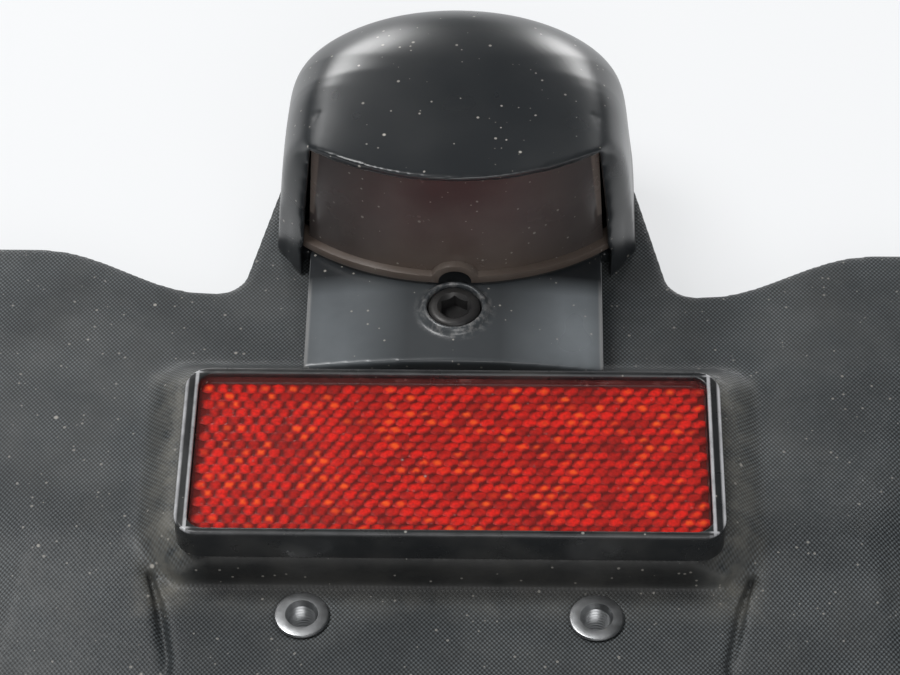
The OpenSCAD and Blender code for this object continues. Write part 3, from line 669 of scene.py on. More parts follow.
# Colour, roughness, metallic share and dust of the small pieces, by the record's slot
SMALL_FINISHES = {
    "rubber_black": ((0.02, 0.02, 0.02), 0.7, 0.0, 0.3),
    "zinc_steel": ((0.50, 0.51, 0.52), 0.38, 1.0, 0.3),
    "brass": ((0.62, 0.43, 0.16), 0.32, 1.0, 0.2),
    "socket_black": ((0.03, 0.03, 0.032), 0.5, 0.0, 0.3),
    "tungsten": ((0.35, 0.35, 0.36), 0.4, 1.0, 0.0),
}


def small_finish(slot):
    """Finish of one slot of the small pieces, made only once."""
    name = slot + "_finish"
    return bpy.data.materials.get(name) or plain_finish(name, *SMALL_FINISHES[slot])


def clear_glass():
    """Glass of the bulb."""
    return Nodes("clear_glass").coated(GLASS, 0.05, Alpha=0.25)


# Shape of the hood, from its CAD node's box

HOOD_PLAN_POWER = 2.6
HOOD_CORNER_POWER = 7.4
HOOD_EDGE_POWER = 9.0
HOOD_TAPER = 0.09
# The first share of the loft's levels goes up the wall and round its edge, to the angle given. The second
# is the top's, a trace more than what is left, so that the top ends in a tiny flat and not in one point
WALL_SHARE = 0.7
TOP_SHARE = 0.301
WALL_END = math.radians(81)
HOOD_MIDDLE_Y = 72 * MM
FALL_Y = 74.5 * MM
FALL_RADIUS = 38 * MM
FALL_BOW = 46 * MM
CROWN_RADIUS = 128 * MM
CROWN_FRONT = 0.15
# Share of the front half's points that runs along each straight side
SIDE_SHARE = 0.1
CHEEK_TIP = 53 * MM
CHEEK_RUN = 13.5 * MM
CHEEK_WIDTH = 5.3 * MM
CHEEK_RADIUS = (CHEEK_RUN ** 2 + CHEEK_WIDTH ** 2) / (2 * CHEEK_WIDTH)


def neck_face():
    """Height of the bracket's face under the lamp."""
    return high("lamp_nut_washer").z + 3 * MM


def bow_at(x, radius):
    """Front of a bow of that radius at a place across the width; all bows share one centre."""
    centre = sizes().bow_front + sizes().bow_radius
    return centre - math.sqrt(max(radius * radius - x * x, 0.0))


def hood_front(x, wide, inset):
    """Front edge of the hood: the window's bow in the middle, cheeks rounded off at its sides."""
    bow = bow_at(x, sizes().bow_radius + 0.6 * MM - inset)
    depth = wide - abs(x)
    if depth < CHEEK_WIDTH:
        reach = CHEEK_RADIUS - max(depth, 0.0)
        cheek = CHEEK_TIP + CHEEK_RUN - math.sqrt(CHEEK_RADIUS ** 2 - reach ** 2)
    else:
        cheek = CHEEK_TIP + 3 * (depth - CHEEK_WIDTH)
    return min(bow, cheek + inset)


def hood_drop(x, y):
    """How far the hood's top lies under its crown: it falls to the back and is arched more and more there."""
    start = FALL_Y - FALL_BOW + math.sqrt(FALL_BOW ** 2 - x * x)
    fall = min(max(y - start, 0.0), 0.97 * FALL_RADIUS)
    t = min(max((y - sizes().bow_front) / (FALL_Y - sizes().bow_front), 0.0), 1.0)
    share = CROWN_FRONT + (1 - CROWN_FRONT) * (0.45 * t + 0.55 * t * t * (3 - 2 * t))
    return share * x * x / (2 * CROWN_RADIUS) + FALL_RADIUS - math.sqrt(FALL_RADIUS ** 2 - fall ** 2)


def hood_place(inset):
    """Placing rule for the hood's loft, taken in by an inset."""
    half = size("lamp_housing").x / 2 - inset
    back = high("lamp_housing").y - HOOD_MIDDLE_Y - inset
    rise = high("lamp_housing").z - neck_face() - inset

    def place(turn, level):
        if level < WALL_SHARE:
            lean = WALL_END * level / WALL_SHARE
            k = math.cos(lean) ** (2 / HOOD_EDGE_POWER)
            w = math.sin(lean) ** (2 / HOOD_EDGE_POWER)
        else:
            k = math.cos(WALL_END) ** (2 / HOOD_EDGE_POWER) * (1.001 - level) / TOP_SHARE
            w = (1 - k ** HOOD_EDGE_POWER) ** (1 / HOOD_EDGE_POWER)
        x, y = hood_plan(turn, half * (1 - HOOD_TAPER * w), back, k, inset)
        return (x, y, neck_face() + w * (rise - hood_drop(x, y)))

    return place


def hood_plan(turn, wide, back, k, inset):
    """Plan of the hood at one level, scaled by k: rounded back, straight sides, cheeks and bowed front."""
    edge = wide * k
    c, s = math.cos(turn), math.sin(turn)
    if s >= -1e-9:
        x = edge * math.copysign(abs(c) ** (2 / HOOD_PLAN_POWER), c)
        return x, HOOD_MIDDLE_Y + back * k * max(s, 0.0) ** (2 / HOOD_CORNER_POWER)
    side = math.copysign(1.0, c)
    part = math.asin(min(-s, 1.0)) / (math.pi / 2)
    if part < SIDE_SHARE:
        return side * edge, HOOD_MIDDLE_Y + (hood_front(edge, wide, inset) - HOOD_MIDDLE_Y) * part / SIDE_SHARE
    x = edge * (1 - ((part - SIDE_SHARE) / (1 - SIDE_SHARE)) ** 2)
    return side * x, hood_front(x, wide, inset)


def arch_height(x):
    """Height of the base plate's arched face at a place across the width."""
    crown = high("lamp_screw").z - 1.2 * MM
    return crown - PLATE_ARCH + math.sqrt(PLATE_ARCH ** 2 - x * x)


def spread(start, end, steps):
    return [start + (end - start) * i / steps for i in range(steps + 1)]


# Window and base plate: half widths, radii of their arches, and the room that the plate leaves
WINDOW_FOOT = 30.2 * MM
WINDOW_TOP = 27.15 * MM
WINDOW_ARCH = 250 * MM
WINDOW_GAP = 0.2 * MM
BASE_HALF = 28.6 * MM
ROOM_FRONT = 62 * MM
WINDOW_END = 62.1 * MM
PLATE_END = 62.5 * MM
PLATE_ARCH = 178 * MM
PLATE_WALL = 2.6 * MM
# Where cutting tools begin and end along the length and the height, clear of the lamp's front and top
BEFORE_LAMP = 20 * MM
BEFORE_BOW = 30 * MM
BEHIND_BOW = 60 * MM
ABOVE_BOW = 60 * MM
TOOL_DEPTH = 60 * MM


def window_solid(name, gap, y1, z0):
    """Solid that fills the lamp's window: sides that draw in, top edge arched."""
    crown = high("lamp_lens").z + gap
    top = WINDOW_TOP + gap
    foot = WINDOW_FOOT + gap
    points = [(-foot, BEFORE_LAMP, z0), (foot, BEFORE_LAMP, z0)]
    for x in spread(top, -top, 24):
        points.append((x, BEFORE_LAMP, crown - WINDOW_ARCH + math.sqrt(WINDOW_ARCH ** 2 - x * x)))
    return solid_from_outline(name, points, (0, y1 - BEFORE_LAMP, 0))


class HOLDER_OT_bracket(bpy.types.Operator):
    """Rebuild the bracket's folded skin with rounded edges and fillets"""

    bl_idname = "holder.bracket"
    bl_label = "Bracket"

    @staticmethod
    def pad_slope(place):
        """Weight of the soft slope round the reflector's pad."""
        box = high("reflector_frame")
        outside = max(abs(place.x) - box.x, abs(place.y) - box.y)
        near = ease(outside, 1 * MM, 2.5 * MM) * ease(outside, 15 * MM, 9 * MM)
        return near * ease(place.z, 10 * MM, 12.5 * MM) * ease(place.y, -box.y - 0.5 * MM, 1 * MM - box.y)

    def execute(self, context):
        piece = merged_copy("bracket", "bracket_skin")
        apply_modifier(piece, "REMESH", mode="VOXEL", voxel_size=sizes().skin_voxel, use_smooth_shade=True)
        apply_modifier(piece, "SMOOTH", factor=0.5, iterations=10)
        soften(piece, self.pad_slope, 45)
        apply_modifier(piece, "DECIMATE", decimate_type="COLLAPSE", ratio=0.62)
        smooth(piece, 60)
        hand_over(piece, "bracket_skin", grained_plastic(), "bracket_black", "bracket")
        return {"FINISHED"}


class HOLDER_OT_lamp_housing(bpy.types.Operator):
    """Model the lamp's hood, its cheeks, base plate and screw collar"""

    bl_idname = "holder.lamp_housing"
    bl_label = "Lamp housing"

    @staticmethod
    def cheek_shoulder(place):
        """Weight of the soft shoulder above each cheek."""
        side = ease(abs(place.x), 27.3 * MM, 29.5 * MM) * ease(place.y, 69 * MM, 63 * MM)
        return side * ease(place.z - neck_face(), 12 * MM, 20 * MM)

    def execute(self, context):
        face = neck_face()
        hood = lofted_solid("hood", 288, 60, hood_place(0.0))
        hollow = lofted_solid("hollow", 160, 40, hood_place(sizes().hood_wall))
        floor = face + PLATE_WALL
        room = block("room", (-60 * MM, ROOM_FRONT, floor), (60 * MM, 120 * MM, 90 * MM))
        cut(hollow, room, "INTERSECT")
        cut(hood, hollow)
        cut(hood, window_solid("window", WINDOW_GAP, WINDOW_END, floor))
        for side in (-1, 1):
            inner = side * BASE_HALF
            outer = side * (WINDOW_FOOT + WINDOW_GAP)
            cut(hood, block("slot", (min(inner, outer), BEFORE_BOW, face - 1 * MM),
                            (max(inner, outer), CHEEK_TIP + 4.5 * MM, face + 8 * MM)))
        cut(hood, block("below", (-BASE_HALF, BEFORE_LAMP, face - 1 * MM),
                        (BASE_HALF, CHEEK_TIP + 2 * MM, face + 3 * MM)))
        join(hood, self.base_plate(face))
        screw = middle("lamp_screw")
        cut(hood, rod("shank", (screw.x, screw.y, 0), (screw.x, screw.y, 60 * MM), 3.3 * MM))
        seat = low("lamp_screw_washer").z
        cut(hood, rod("seat", (screw.x, screw.y, seat), (screw.x, screw.y, 40 * MM), 5.3 * MM))
        bulb = middle("bulb_socket")
        cut(hood, rod("socket_hole", (bulb.x, bulb.y, 0), (bulb.x, bulb.y, face + 3.5 * MM), 8.8 * MM))
        apply_modifier(hood, "REMESH", mode="VOXEL", voxel_size=sizes().lamp_voxel, use_smooth_shade=True)
        apply_modifier(hood, "SMOOTH", factor=0.5, iterations=8)
        soften(hood, self.cheek_shoulder, 110)
        smooth(hood, 70)
        hand_over(hood, "lamp_hood", lamp_plastic(), "lamp_black", "lamp_housing")
        return {"FINISHED"}

    def base_plate(self, face):
        """Arched plate between the reflector and the hood, with the screw's collar."""
        start = low("lamp_housing").y
        points = [(-BASE_HALF, start, face), (BASE_HALF, start, face)]
        points += [(x, start, arch_height(x)) for x in spread(BASE_HALF, -BASE_HALF, 32)]
        plate = solid_from_outline("plate", points, (0, PLATE_END - start, 0))
        pad_top = low("reflector_frame").z + 0.25 * MM
        pad_y = high("reflector_frame").y + 6.5 * MM
        slope = [(start - 1 * MM, 0), (pad_y + 4.3 * MM, 0), (pad_y + 4.3 * MM, face + 0.25 * MM),
                 (pad_y + 0.3 * MM, pad_top - 1.4 * MM), (pad_y - 0.5 * MM, pad_top),
                 (start - 1 * MM, pad_top)]
        cut(plate, solid_from_outline("over_pad", [(-40 * MM, y, z) for y, z in slope], (80 * MM, 0, 0)))
        screw = middle("lamp_screw")
        top = high("lamp_screw").z + 0.3 * MM
        profile = [(0.0, 0.0), (6.5 * MM, 0.0), (6.5 * MM, top - face - 0.7 * MM), (5.8 * MM, top - face),
                   (0.0, top - face)]
        cut(plate, turned_solid("collar", profile, (screw.x, screw.y, face)), "UNION")
        return plate


class HOLDER_OT_lamp_lens(bpy.types.Operator):
    """Model the bowed window of the lamp with its foot flange, side edges and screw notch"""

    bl_idname = "holder.lamp_lens"
    bl_label = "Lamp window"

    @staticmethod
    def bow_solid(name, radius, wall):
        """Bowed wall as wide as the window's foot, from below the foot to above the lamp."""
        centre = sizes().bow_front + sizes().bow_radius
        foot = low("lamp_lens").z - 2 * MM
        outer = [(x, centre - math.sqrt(radius ** 2 - x * x), foot)
                 for x in spread(-WINDOW_FOOT, WINDOW_FOOT, 64)]
        inner = [(x, centre - math.sqrt((radius - wall) ** 2 - x * x), foot)
                 for x in spread(WINDOW_FOOT, -WINDOW_FOOT, 64)]
        return solid_from_outline(name, outer + inner, (0, 0, ABOVE_BOW - foot))

    @staticmethod
    def under_arch():
        """Everything up to a little over the base plate's arch, where the window's foot ends."""
        points = [(-40 * MM, BEFORE_LAMP, 0), (40 * MM, BEFORE_LAMP, 0)]
        points += [(x, BEFORE_LAMP, arch_height(x) + 0.8 * MM) for x in spread(40 * MM, -40 * MM, 48)]
        return solid_from_outline("under_arch", points, (0, TOOL_DEPTH, 0))

    @staticmethod
    def flange_region(notch_z):
        """Where the thicker edge runs: along the foot and over the notch."""
        points = [(x, BEFORE_LAMP, arch_height(x) - 2 * MM) for x in spread(-32 * MM, 32 * MM, 48)]
        round_notch = 4.6 * MM
        for x in spread(32 * MM, -32 * MM, 128):
            height = arch_height(x) + 2.6 * MM
            if abs(x) < round_notch:
                height = max(height, notch_z + math.sqrt(round_notch ** 2 - x * x))
            points.append((x, BEFORE_LAMP, height))
        return solid_from_outline("flange_region", points, (0, TOOL_DEPTH, 0))

    def execute(self, context):
        radius = sizes().bow_radius
        screw = middle("lamp_screw")
        notch_z = high("lamp_screw").z - 0.2 * MM
        notch = (0, BEFORE_BOW, notch_z), (0, BEHIND_BOW, notch_z)
        wall = self.bow_solid("window_wall", radius - sizes().lens_step, 1.6 * MM)
        cut(wall, window_solid("fit", 0.0, 80 * MM, 0), "INTERSECT")
        cut(wall, self.under_arch())
        cut(wall, rod("notch", *notch, 3.9 * MM))
        round_edges(wall, 0.25 * MM, 2, 40)
        smooth(wall, 35)
        apply_modifier(wall, "WEIGHTED_NORMAL", keep_sharp=True)
        hand_over(wall, "lamp_window", smoke_plastic(), "smoke_clear", "lamp_lens")
        flange = self.bow_solid("window_flange", radius, 3.2 * MM)
        cut(flange, self.flange_region(notch_z), "INTERSECT")
        cut(flange, self.under_arch())
        cut(flange, rod("notch", *notch, 3.2 * MM))
        cut(flange, block("notch_foot", (-3.2 * MM, BEFORE_BOW, 0), (3.2 * MM, BEHIND_BOW, notch_z)))
        cut(flange, rod("collar_room", (screw.x, screw.y, 0), (screw.x, screw.y, 24.7 * MM), 6.7 * MM))
        round_edges(flange, 0.3 * MM, 2, 40)
        smooth(flange, 35)
        hand_over(flange, "lamp_window_flange", smoke_edge(), "smoke_clear")
        return {"FINISHED"}


class HOLDER_OT_lamp_fixing(bpy.types.Operator):
    """Model the socket-head screw in the lamp's collar"""

    bl_idname = "holder.lamp_fixing"
    bl_label = "Lamp screw"

    def execute(self, context):
        top = high("lamp_screw").z
        bottom = low("lamp_screw").z
        c = middle("lamp_screw")
        shoulder = top - 6 * MM
        profile = [(0.0, bottom), (2.4 * MM, bottom), (3.0 * MM, bottom + 0.8 * MM), (3.0 * MM, shoulder),
                   (5.0 * MM, shoulder), (5.0 * MM, top - 0.7 * MM), (4.7 * MM, top - 0.25 * MM),
                   (4.2 * MM, top), (0.0, top)]
        screw = turned_solid("screw", profile, (c.x, c.y, 0.0), 96)
        cut(screw, rod("key", (c.x, c.y, top - 3.2 * MM), (c.x, c.y, top + 2 * MM), 2.9 * MM, 6))
        mouth = [(0.0, -0.8 * MM), (2.5 * MM, -0.8 * MM), (3.4 * MM, 0.1 * MM), (0.0, 0.1 * MM)]
        cut(screw, turned_solid("mouth", mouth, (c.x, c.y, top), 96))
        smooth(screw, 30)
        black = plain_finish("black_steel", (0.03, 0.03, 0.032), 0.42, 0.6, 0.8)
        hand_over(screw, "lamp_cap_screw", black, "black_steel", "lamp_screw")
        return {"FINISHED"}


class HOLDER_OT_reflector(bpy.types.Operator):
    """Model the reflector's rimmed frame, its clear red face and the prisms behind it"""

    bl_idname = "holder.reflector"
    bl_label = "Reflector"

    @staticmethod
    def rounded_box(name, half_x, half_y, z0, z1, corner):
        """Box round the origin with its four upright edges rounded."""
        piece = block(name, (-half_x, -half_y, z0), (half_x, half_y, z1))
        edit_all(piece)
        bpy.ops.mesh.select_mode(type="EDGE")
        bpy.ops.mesh.select_all(action="DESELECT")
        bpy.ops.object.mode_set(mode="OBJECT")
        for edge in piece.data.edges:
            a, b = (piece.data.vertices[i].co for i in edge.vertices)
            edge.select = abs(a.z - b.z) > (z1 - z0) / 2
        bpy.ops.object.mode_set(mode="EDIT")
        bpy.ops.mesh.bevel(offset=corner, offset_type="OFFSET", segments=10, affect="EDGES")
        leave_edit()
        return piece

    def rimmed_frame(self):
        """Frame with a well for the face, a ledge under it and a room for the prisms."""
        a, b = low("reflector_frame"), high("reflector_frame")
        face = high("reflector_lens")
        corner = sizes().frame_corner - sizes().frame_rim_y
        inner_x, inner_y = b.x - sizes().frame_rim, b.y - sizes().frame_rim_y
        ledge = 1 * MM
        piece = self.rounded_box("rimmed_frame", b.x, b.y, a.z, b.z, sizes().frame_corner)
        cut(piece, self.rounded_box("well", inner_x, inner_y, face.z - 2 * MM, b.z + 1 * MM, corner))
        cut(piece, self.rounded_box("room", inner_x - ledge, inner_y - ledge, a.z + 2 * MM, face.z, corner / 2))
        round_edges(piece, 0.55 * MM, 4, 50)
        smooth(piece, 35)
        return piece

    def prisms(self):
        """Staggered six-sided prisms; each keeps its own coordinates and two chance numbers."""
        pitch = sizes().prism_pitch
        row = pitch * 0.73
        hexagon_row = 0.866
        face = high("reflector_lens")
        top = face.z - 1.15 * MM
        columns = int((2 * face.x - 1.6 * MM) / pitch)
        rows = int((2 * face.y - 3.2 * MM) / row)
        clear_selection()
        bpy.ops.mesh.primitive_circle_add(vertices=6, radius=pitch / math.sqrt(3), fill_type="TRIFAN")
        field = bpy.context.object
        points, faces, cell, spark, depth = [], [], [], [], []
        for j in range(rows + 1):
            for i in range(columns + (j % 2)):
                x = (i - (columns + (j % 2) - 1) / 2) * pitch
                place = Vector((x, (j - rows / 2) * row - 0.2 * MM, top))
                n = len(points)
                points.append(place)
                cell.append((0.0, 0.0, 0.0))
                for m in range(6):
                    a = math.radians(30 + 60 * m)
                    u, v = math.cos(a) / math.sqrt(3), math.sin(a) / math.sqrt(3)
                    sink = 0.34 * MM if m % 2 else 0.16 * MM
                    points.append(place + Vector((u * pitch, v * row / hexagon_row, -sink)))
                    cell.append((u, v, 0.0))
                    faces.append((n, n + 1 + m, n + 1 + (m + 1) % 6))
                spark += [self.chance((j * 97 + i) * 3)] * 7
                depth += [self.chance((j * 89 + i) * 7 + 2)] * 7
        field.data.clear_geometry()
        field.data.from_pydata(points, [], faces)
        for name, values in (("spark", spark), ("depth", depth)):
            layer = field.data.attributes.new(name, "FLOAT", "POINT")
            layer.data.foreach_set("value", values)
        layer = field.data.attributes.new("cell", "FLOAT_VECTOR", "POINT")
        layer.data.foreach_set("vector", [c for place in cell for c in place])
        field.data.update()
        smooth(field, 60)
        return field

    @staticmethod
    def chance(k):
        """Fixed number between 0 and 1 for a face."""
        return math.modf(abs(math.sin(k * 12.9898 + 4.1) * 43758.5453))[0]

    def execute(self, context):
        hand_over(self.rimmed_frame(), "reflector_rim", rim_plastic(), "frame_black", "reflector_frame")
        b = high("reflector_lens")
        corner = sizes().frame_corner - sizes().frame_rim - 0.2 * MM
        cover = self.rounded_box("red_face", b.x, b.y, b.z - 0.9 * MM, b.z, corner)
        round_edges(cover, 0.3 * MM, 3, 50)
        smooth(cover, 35)
        hand_over(cover, "reflector_face", red_cover(), "red_clear", "reflector_lens")
        inset = 0.4 * MM
        back = self.rounded_box("red_back", b.x - inset, b.y - inset, b.z - 1.95 * MM, b.z - 1.75 * MM, corner)
        deep = plain_finish("deep_red", (0.11, 0.004, 0.003), 0.3, 0.0, 0.0)
        hand_over(back, "reflector_back", deep, "red_clear")
        hand_over(self.prisms(), "reflector_prisms", prism_red(), "red_clear")
        return {"FINISHED"}


# Thread of every stud, nut and insert
THREAD_PITCH = 0.8 * MM
THREAD_DEPTH = 0.3 * MM


class HOLDER_OT_fasteners(bpy.types.Operator):
    """Model the rivet nuts, inserts, studs, washers and nuts"""

    bl_idname = "holder.fasteners"
    bl_label = "Nuts, washers, studs and inserts"

    @staticmethod
    def thread(radius, start, end):
        """Outline of thread crests and roots from one height to another."""
        pitch, root = THREAD_PITCH, radius - THREAD_DEPTH
        outline = []
        for i in range(max(int((end - start) / pitch), 1)):
            z = start + i * pitch
            outline += [(radius, z + 0.1 * pitch), (root, z + 0.45 * pitch),
                        (root, z + 0.6 * pitch), (radius, z + 0.95 * pitch)]
        return outline

    @staticmethod
    def place_of(node, radius):
        """Middle of the node's piece that lies farthest to the right."""
        return (high(node).x - radius, high(node).y - radius, 0.0)

    def ring(self, node, inner, outer, edge):
        """Turned ring with its outer and inner edges broken."""
        z0, z1 = low(node).z, high(node).z
        outline = [(inner + edge, z0), (outer - edge, z0), (outer, z0 + edge), (outer, z1 - edge),
                   (outer - edge, z1), (inner + edge, z1), (inner, z1 - edge), (inner, z0 + edge)]
        return turned_solid("ring", outline, self.place_of(node, outer))

    def nut(self, node, bore, corner):
        """Hexagon nut with turned-off corners and a threaded bore with wide mouths."""
        x, y = high(node).x - corner, middle(node).y
        z0, z1 = low(node).z, high(node).z
        plan = [(x + corner * math.cos(math.radians(60 * i)), y + corner * math.sin(math.radians(60 * i)), z0)
                for i in range(6)]
        piece = solid_from_outline("nut", plan, (0, 0, z1 - z0))
        flat, wide = 0.85 * corner, 1.1 * corner
        turned = turned_solid("corners", [(0.0, z0), (flat, z0), (wide, z0 + 0.15 * corner),
                                          (wide, z1 - 0.15 * corner), (flat, z1), (0.0, z1)], (x, y, 0.0), 96)
        cut(piece, turned, "INTERSECT")
        mouth = 0.5 * MM
        outline = [(0.0, z0 - mouth), (bore + 2 * mouth, z0 - mouth)]
        outline += [(2 * bore - r, z) for r, z in self.thread(bore, z0 + mouth, z1 - mouth)]
        outline += [(bore + 2 * mouth, z1 + mouth), (0.0, z1 + mouth)]
        cut(piece, turned_solid("bore", outline, (x, y, 0.0), 48))
        return piece

    def threaded_ring(self, node, bore, outline, radius):
        """Turned sleeve with a given outer outline, from its lower to its upper end, and a thread inside."""
        z0, z1 = low(node).z, high(node).z
        inside = [(2 * bore - r, z) for r, z in self.thread(bore, z0 + 0.5 * MM, z1 - 0.6 * MM)]
        inside = [(bore + 0.5 * MM, z0)] + inside + [(bore + 0.5 * MM, z1)]
        return turned_solid("sleeve", outline + inside[::-1], self.place_of(node, radius))

    def rivet_nut(self):
        """Rivet nut: flange with a rounded edge, barrel and the bulge behind the skin."""
        z0, z1 = low("plate_rivet_nuts").z, high("plate_rivet_nuts").z
        back = z1 - 0.9 * MM - 3 * MM
        outline = [(3.7 * MM, z0), (4.0 * MM, z0 + 0.3 * MM), (4.0 * MM, back - 2.3 * MM)]
        for degrees in range(20, 170, 25):
            a = math.radians(degrees)
            outline.append(((4 + 0.9 * math.sin(a)) * MM, back - (1.1 + 1.1 * math.cos(a)) * MM))
        outline += [(4.0 * MM, back), (4.0 * MM, back + 3 * MM), (4.75 * MM, back + 3 * MM),
                    (5.0 * MM, back + 3.25 * MM), (5.0 * MM, z1 - 0.35 * MM), (4.85 * MM, z1 - 0.1 * MM),
                    (4.6 * MM, z1)]
        return self.threaded_ring("plate_rivet_nuts", 2.5 * MM, outline, 5 * MM)

    def insert(self):
        """Brass insert with two wide bands and a groove between them."""
        z0, z1 = low("rear_inserts").z, high("rear_inserts").z
        outline = [(3.9 * MM, z0), (4.2 * MM, z0 + 0.3 * MM), (4.2 * MM, z0 + 2.4 * MM),
                   (3.7 * MM, z0 + 2.8 * MM), (3.7 * MM, z1 - 2.8 * MM), (4.2 * MM, z1 - 2.4 * MM),
                   (4.2 * MM, z1 - 0.3 * MM), (3.9 * MM, z1)]
        return self.threaded_ring("rear_inserts", 2.5 * MM, outline, 4.2 * MM)

    def stud(self):
        """Stud with its head in the reflector's frame and a thread on its free end."""
        z0, z1 = low("reflector_studs").z, high("reflector_studs").z
        outline = [(0.0, z0), (1.9 * MM, z0), (2.4 * MM, z0 + 0.5 * MM)]
        outline += self.thread(2.5 * MM, z0 + 0.6 * MM, z0 + 7.6 * MM)
        outline += [(2.5 * MM, z1 - 1.2 * MM), (4 * MM, z1 - 1.2 * MM), (4 * MM, z1 - 0.2 * MM),
                    (3.8 * MM, z1), (0.0, z1)]
        return turned_solid("stud", outline, self.place_of("reflector_studs", 4 * MM))

    def pair(self, piece, name, slot, node):
        """Finishes a piece on the right and its copy on the left."""
        twin = copy_along(piece, (-2 * self.reach(piece), 0, 0), name)
        for one, end in ((piece, "_right"), (twin, "_left")):
            smooth(one, 30)
            hand_over(one, name + end, small_finish(slot), slot, node)

    @staticmethod
    def reach(piece):
        """Distance of a piece's middle from the plane of symmetry."""
        across = [vertex.co.x for vertex in piece.data.vertices]
        return (min(across) + max(across)) / 2

    def execute(self, context):
        self.pair(self.rivet_nut(), "rivet_nut", "zinc_steel", "plate_rivet_nuts")
        self.pair(self.stud(), "reflector_stud", "zinc_steel", "reflector_studs")
        washer = self.ring("reflector_washers", 2.7 * MM, 5.5 * MM, 0.2 * MM)
        self.pair(washer, "reflector_washer", "zinc_steel", "reflector_washers")
        nut = self.nut("reflector_nuts", 2.53 * MM, 4.6 * MM)
        self.pair(nut, "reflector_nut", "zinc_steel", "reflector_nuts")
        upper = self.insert()
        apart = low("rear_inserts").y - high("rear_inserts").y + 8.4 * MM
        lower = copy_along(upper, (0, apart, 0), "insert_lower")
        self.pair(upper, "insert_upper", "brass", "rear_inserts")
        self.pair(lower, "insert_lower", "brass", "rear_inserts")
        washer = self.ring("lamp_nut_washer", 3.15 * MM, 6.2 * MM, 0.2 * MM)
        nut = self.nut("lamp_nut", 3.03 * MM, 5.77 * MM)
        for piece, name in ((washer, "lamp_nut_washer"), (nut, "lamp_nut")):
            smooth(piece, 30)
            hand_over(piece, name + "_turned", small_finish("zinc_steel"), "zinc_steel", name)
        return {"FINISHED"}


class HOLDER_OT_finishes(bpy.types.Operator):
    """Give the CAD pieces that keep their shape their finishes"""

    bl_idname = "holder.finishes"
    bl_label = "Finishes of the small pieces"

    def execute(self, context):
        by_slot = {slot: small_finish(slot) for slot in SMALL_FINISHES}
        by_slot["clear_glass"] = clear_glass()
        slots = {part["node"]: part["material_slot"] for part in frame["record"]["subparts"]}
        for node, piece in frame["nodes"].items():
            if slots[node] not in by_slot:
                continue
            material = by_slot[slots[node]]
            if not piece.material_slots:
                piece.data.materials.append(material)
            for slot in piece.material_slots:
                slot.material = material
        return {"FINISHED"}


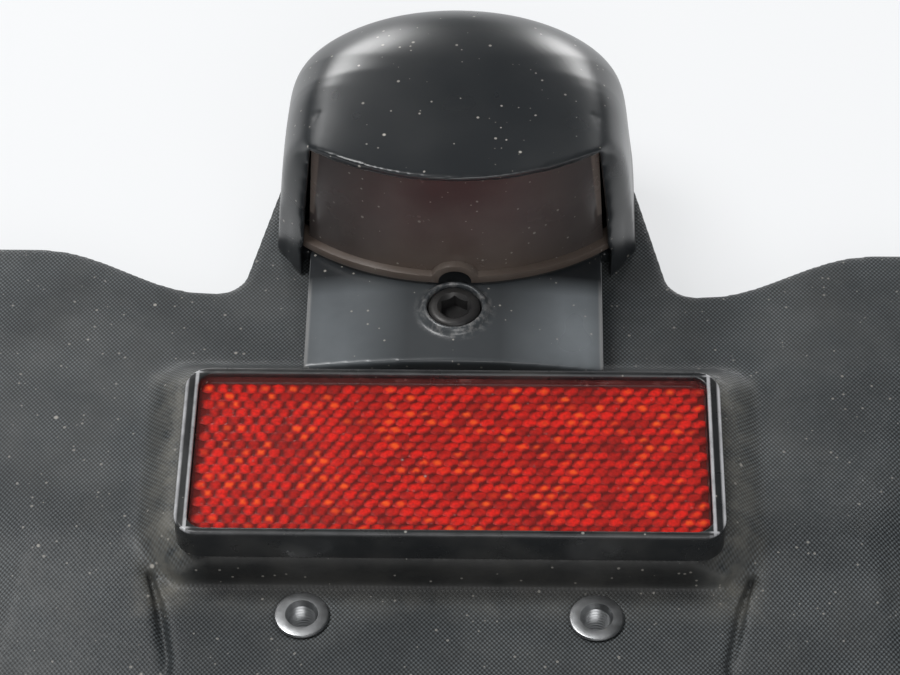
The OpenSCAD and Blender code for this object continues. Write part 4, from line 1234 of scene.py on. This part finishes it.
class HOLDER_OT_stage(bpy.types.Operator):
    """Set the pale floor, the soft lights and the camera"""

    bl_idname = "holder.stage"
    bl_label = "Stage"

    @staticmethod
    def floor():
        """Ground just under the holder, which the camera and mirrors see as pale as the backdrop."""
        clear_selection()
        bpy.ops.mesh.primitive_plane_add(size=12.0, location=(0, 0, -0.2 * MM))
        ground = bpy.context.object
        ground.name = "ground"
        n = Nodes("ground")
        ray = n.add("LightPath")
        kinds = ("Is Camera Ray", "Is Glossy Ray", "Is Transmission Ray")
        seen = n.most(*(ray.outputs[kind] for kind in kinds))
        diffuse = n.add("BsdfDiffuse", Color=paint("floor"))
        glow = n.add("Emission", Color=paint("floor"), Strength=1.0)
        mixed = n.add("MixShader")
        for socket, value in zip(mixed.inputs, (n.times(seen, 0.75), diffuse.outputs[0], glow.outputs[0])):
            n.feed(socket, value)
        ground.data.materials.append(n.finish(mixed))

    @staticmethod
    def softbox(name, place, width, height, power, aim=(0, 0.03, 0.02)):
        """Rectangular light at a place in metres, turned to what it aims at."""
        light = bpy.data.lights.new(name, "AREA")
        light.shape = "RECTANGLE"
        light.size = width
        light.size_y = height
        light.energy = power
        lamp = bpy.data.objects.new(name, light)
        bpy.context.scene.collection.objects.link(lamp)
        lamp.location = place
        lamp.rotation_euler = (Vector(aim) - Vector(place)).to_track_quat("-Z", "Y").to_euler()

    @staticmethod
    def camera():
        """Camera as the panel sets it, looking at a point between the reflector and the lamp."""
        s = studio()
        target = Vector((-0.65 * MM, 27.3 * MM, high("reflector_frame").z))
        e, w, r = s.elevation, s.swing, s.roll
        back = Vector((math.sin(w) * math.cos(e), -math.cos(w) * math.cos(e), math.sin(e)))
        right = Vector((math.cos(w), math.sin(w), 0.0))
        up = back.cross(right)
        turned_right = math.cos(r) * right + math.sin(r) * up
        turned_up = math.cos(r) * up - math.sin(r) * right
        data = bpy.data.cameras.new("camera")
        data.lens = s.lens_mm
        data.sensor_width = 36.0
        data.sensor_fit = "HORIZONTAL"
        data.clip_start = 0.01
        camera = bpy.data.objects.new("camera", data)
        bpy.context.scene.collection.objects.link(camera)
        axes = Matrix((turned_right, turned_up, back)).transposed().to_4x4()
        camera.matrix_world = Matrix.Translation(target + back * s.distance) @ axes
        bpy.context.scene.camera = camera

    @staticmethod
    def world():
        """Soft even light; mirrors see a dark room over a pale horizon."""
        world = bpy.data.worlds.new("studio")
        world.use_nodes = True
        tree = world.node_tree
        tree.nodes.clear()

        def background(colour, strength):
            node = tree.nodes.new("ShaderNodeBackground")
            node.inputs["Color"].default_value = colour
            node.inputs["Strength"].default_value = strength
            return node.outputs[0]

        def mixed(factor, a, b):
            node = tree.nodes.new("ShaderNodeMixShader")
            for socket, value in zip(node.inputs, (factor, a, b)):
                tree.links.new(value, socket)
            return node.outputs[0]

        ray = tree.nodes.new("ShaderNodeLightPath")
        soft = background((0.95, 0.97, 1.0, 1.0), 0.42)
        room = background((0.55, 0.6, 0.62, 1.0), 0.09)
        white = background(paint("floor"), 1.0)
        shader = mixed(ray.outputs["Is Camera Ray"], mixed(ray.outputs["Is Glossy Ray"], soft, room), white)
        tree.links.new(shader, tree.nodes.new("ShaderNodeOutputWorld").inputs["Surface"])
        bpy.context.scene.world = world

    def aimed(self, name, turn, rise, away, width, height, power):
        """Softbox at a compass turn from straight behind and a rise over the ground, facing the lamp."""
        a, e = math.radians(turn), math.radians(rise)
        aim = Vector((0, 0.075, 0.045))
        place = aim + away * Vector((math.sin(a) * math.cos(e), math.cos(a) * math.cos(e), math.sin(e)))
        self.softbox(name, place, width, height, power, aim)

    def execute(self, context):
        self.floor()
        self.world()
        self.aimed("left_back", -19, 16, 1.1, 0.32, 0.38, 3.6)
        self.aimed("right_back", 20, 8, 1.1, 0.26, 0.34, 2.6)
        self.softbox("key", (-0.55, 0.1, 1.15), 0.6, 0.5, 11.0)
        self.softbox("front_fill", (0.25, -1.2, 0.9), 0.9, 0.6, 6.5)
        self.camera()
        context.scene.view_settings.view_transform = "Standard"
        return {"FINISHED"}


class HOLDER_PT_panel(bpy.types.Panel):
    """Lists the steps that build the holder's visible pieces"""

    bl_idname = "HOLDER_PT_panel"
    bl_label = "Plate holder"
    bl_space_type = "VIEW_3D"
    bl_region_type = "UI"
    bl_category = "Plate holder"

    def draw(self, context):
        for group in (sizes(), colours(), studio()):
            box = self.layout.box()
            for key in group.__annotations__:
                box.prop(group, key)
        for step in STEPS:
            self.layout.operator(step.bl_idname)


STEPS = (
    HOLDER_OT_bracket, HOLDER_OT_lamp_housing, HOLDER_OT_lamp_lens, HOLDER_OT_lamp_fixing,
    HOLDER_OT_reflector, HOLDER_OT_fasteners, HOLDER_OT_finishes, HOLDER_OT_stage,
)
GROUPS = {"holder_sizes": HolderSizes, "holder_colours": HolderColours, "holder_studio": HolderStudio}


def register():
    for group in GROUPS.values():
        bpy.utils.register_class(group)
    for step in STEPS:
        bpy.utils.register_class(step)
    bpy.utils.register_class(HOLDER_PT_panel)
    for name, group in GROUPS.items():
        setattr(bpy.types.Scene, name, bpy.props.PointerProperty(type=group))


def unregister():
    for name in GROUPS:
        delattr(bpy.types.Scene, name)
    bpy.utils.unregister_class(HOLDER_PT_panel)
    for step in reversed(STEPS):
        bpy.utils.unregister_class(step)
    for group in reversed(list(GROUPS.values())):
        bpy.utils.unregister_class(group)


def main():
    register()
    bpy.ops.holder.bracket()
    bpy.ops.holder.lamp_housing()
    bpy.ops.holder.lamp_lens()
    bpy.ops.holder.lamp_fixing()
    bpy.ops.holder.reflector()
    bpy.ops.holder.fasteners()
    bpy.ops.holder.finishes()
    bpy.ops.holder.stage()


if __name__ == "__main__":
    main()
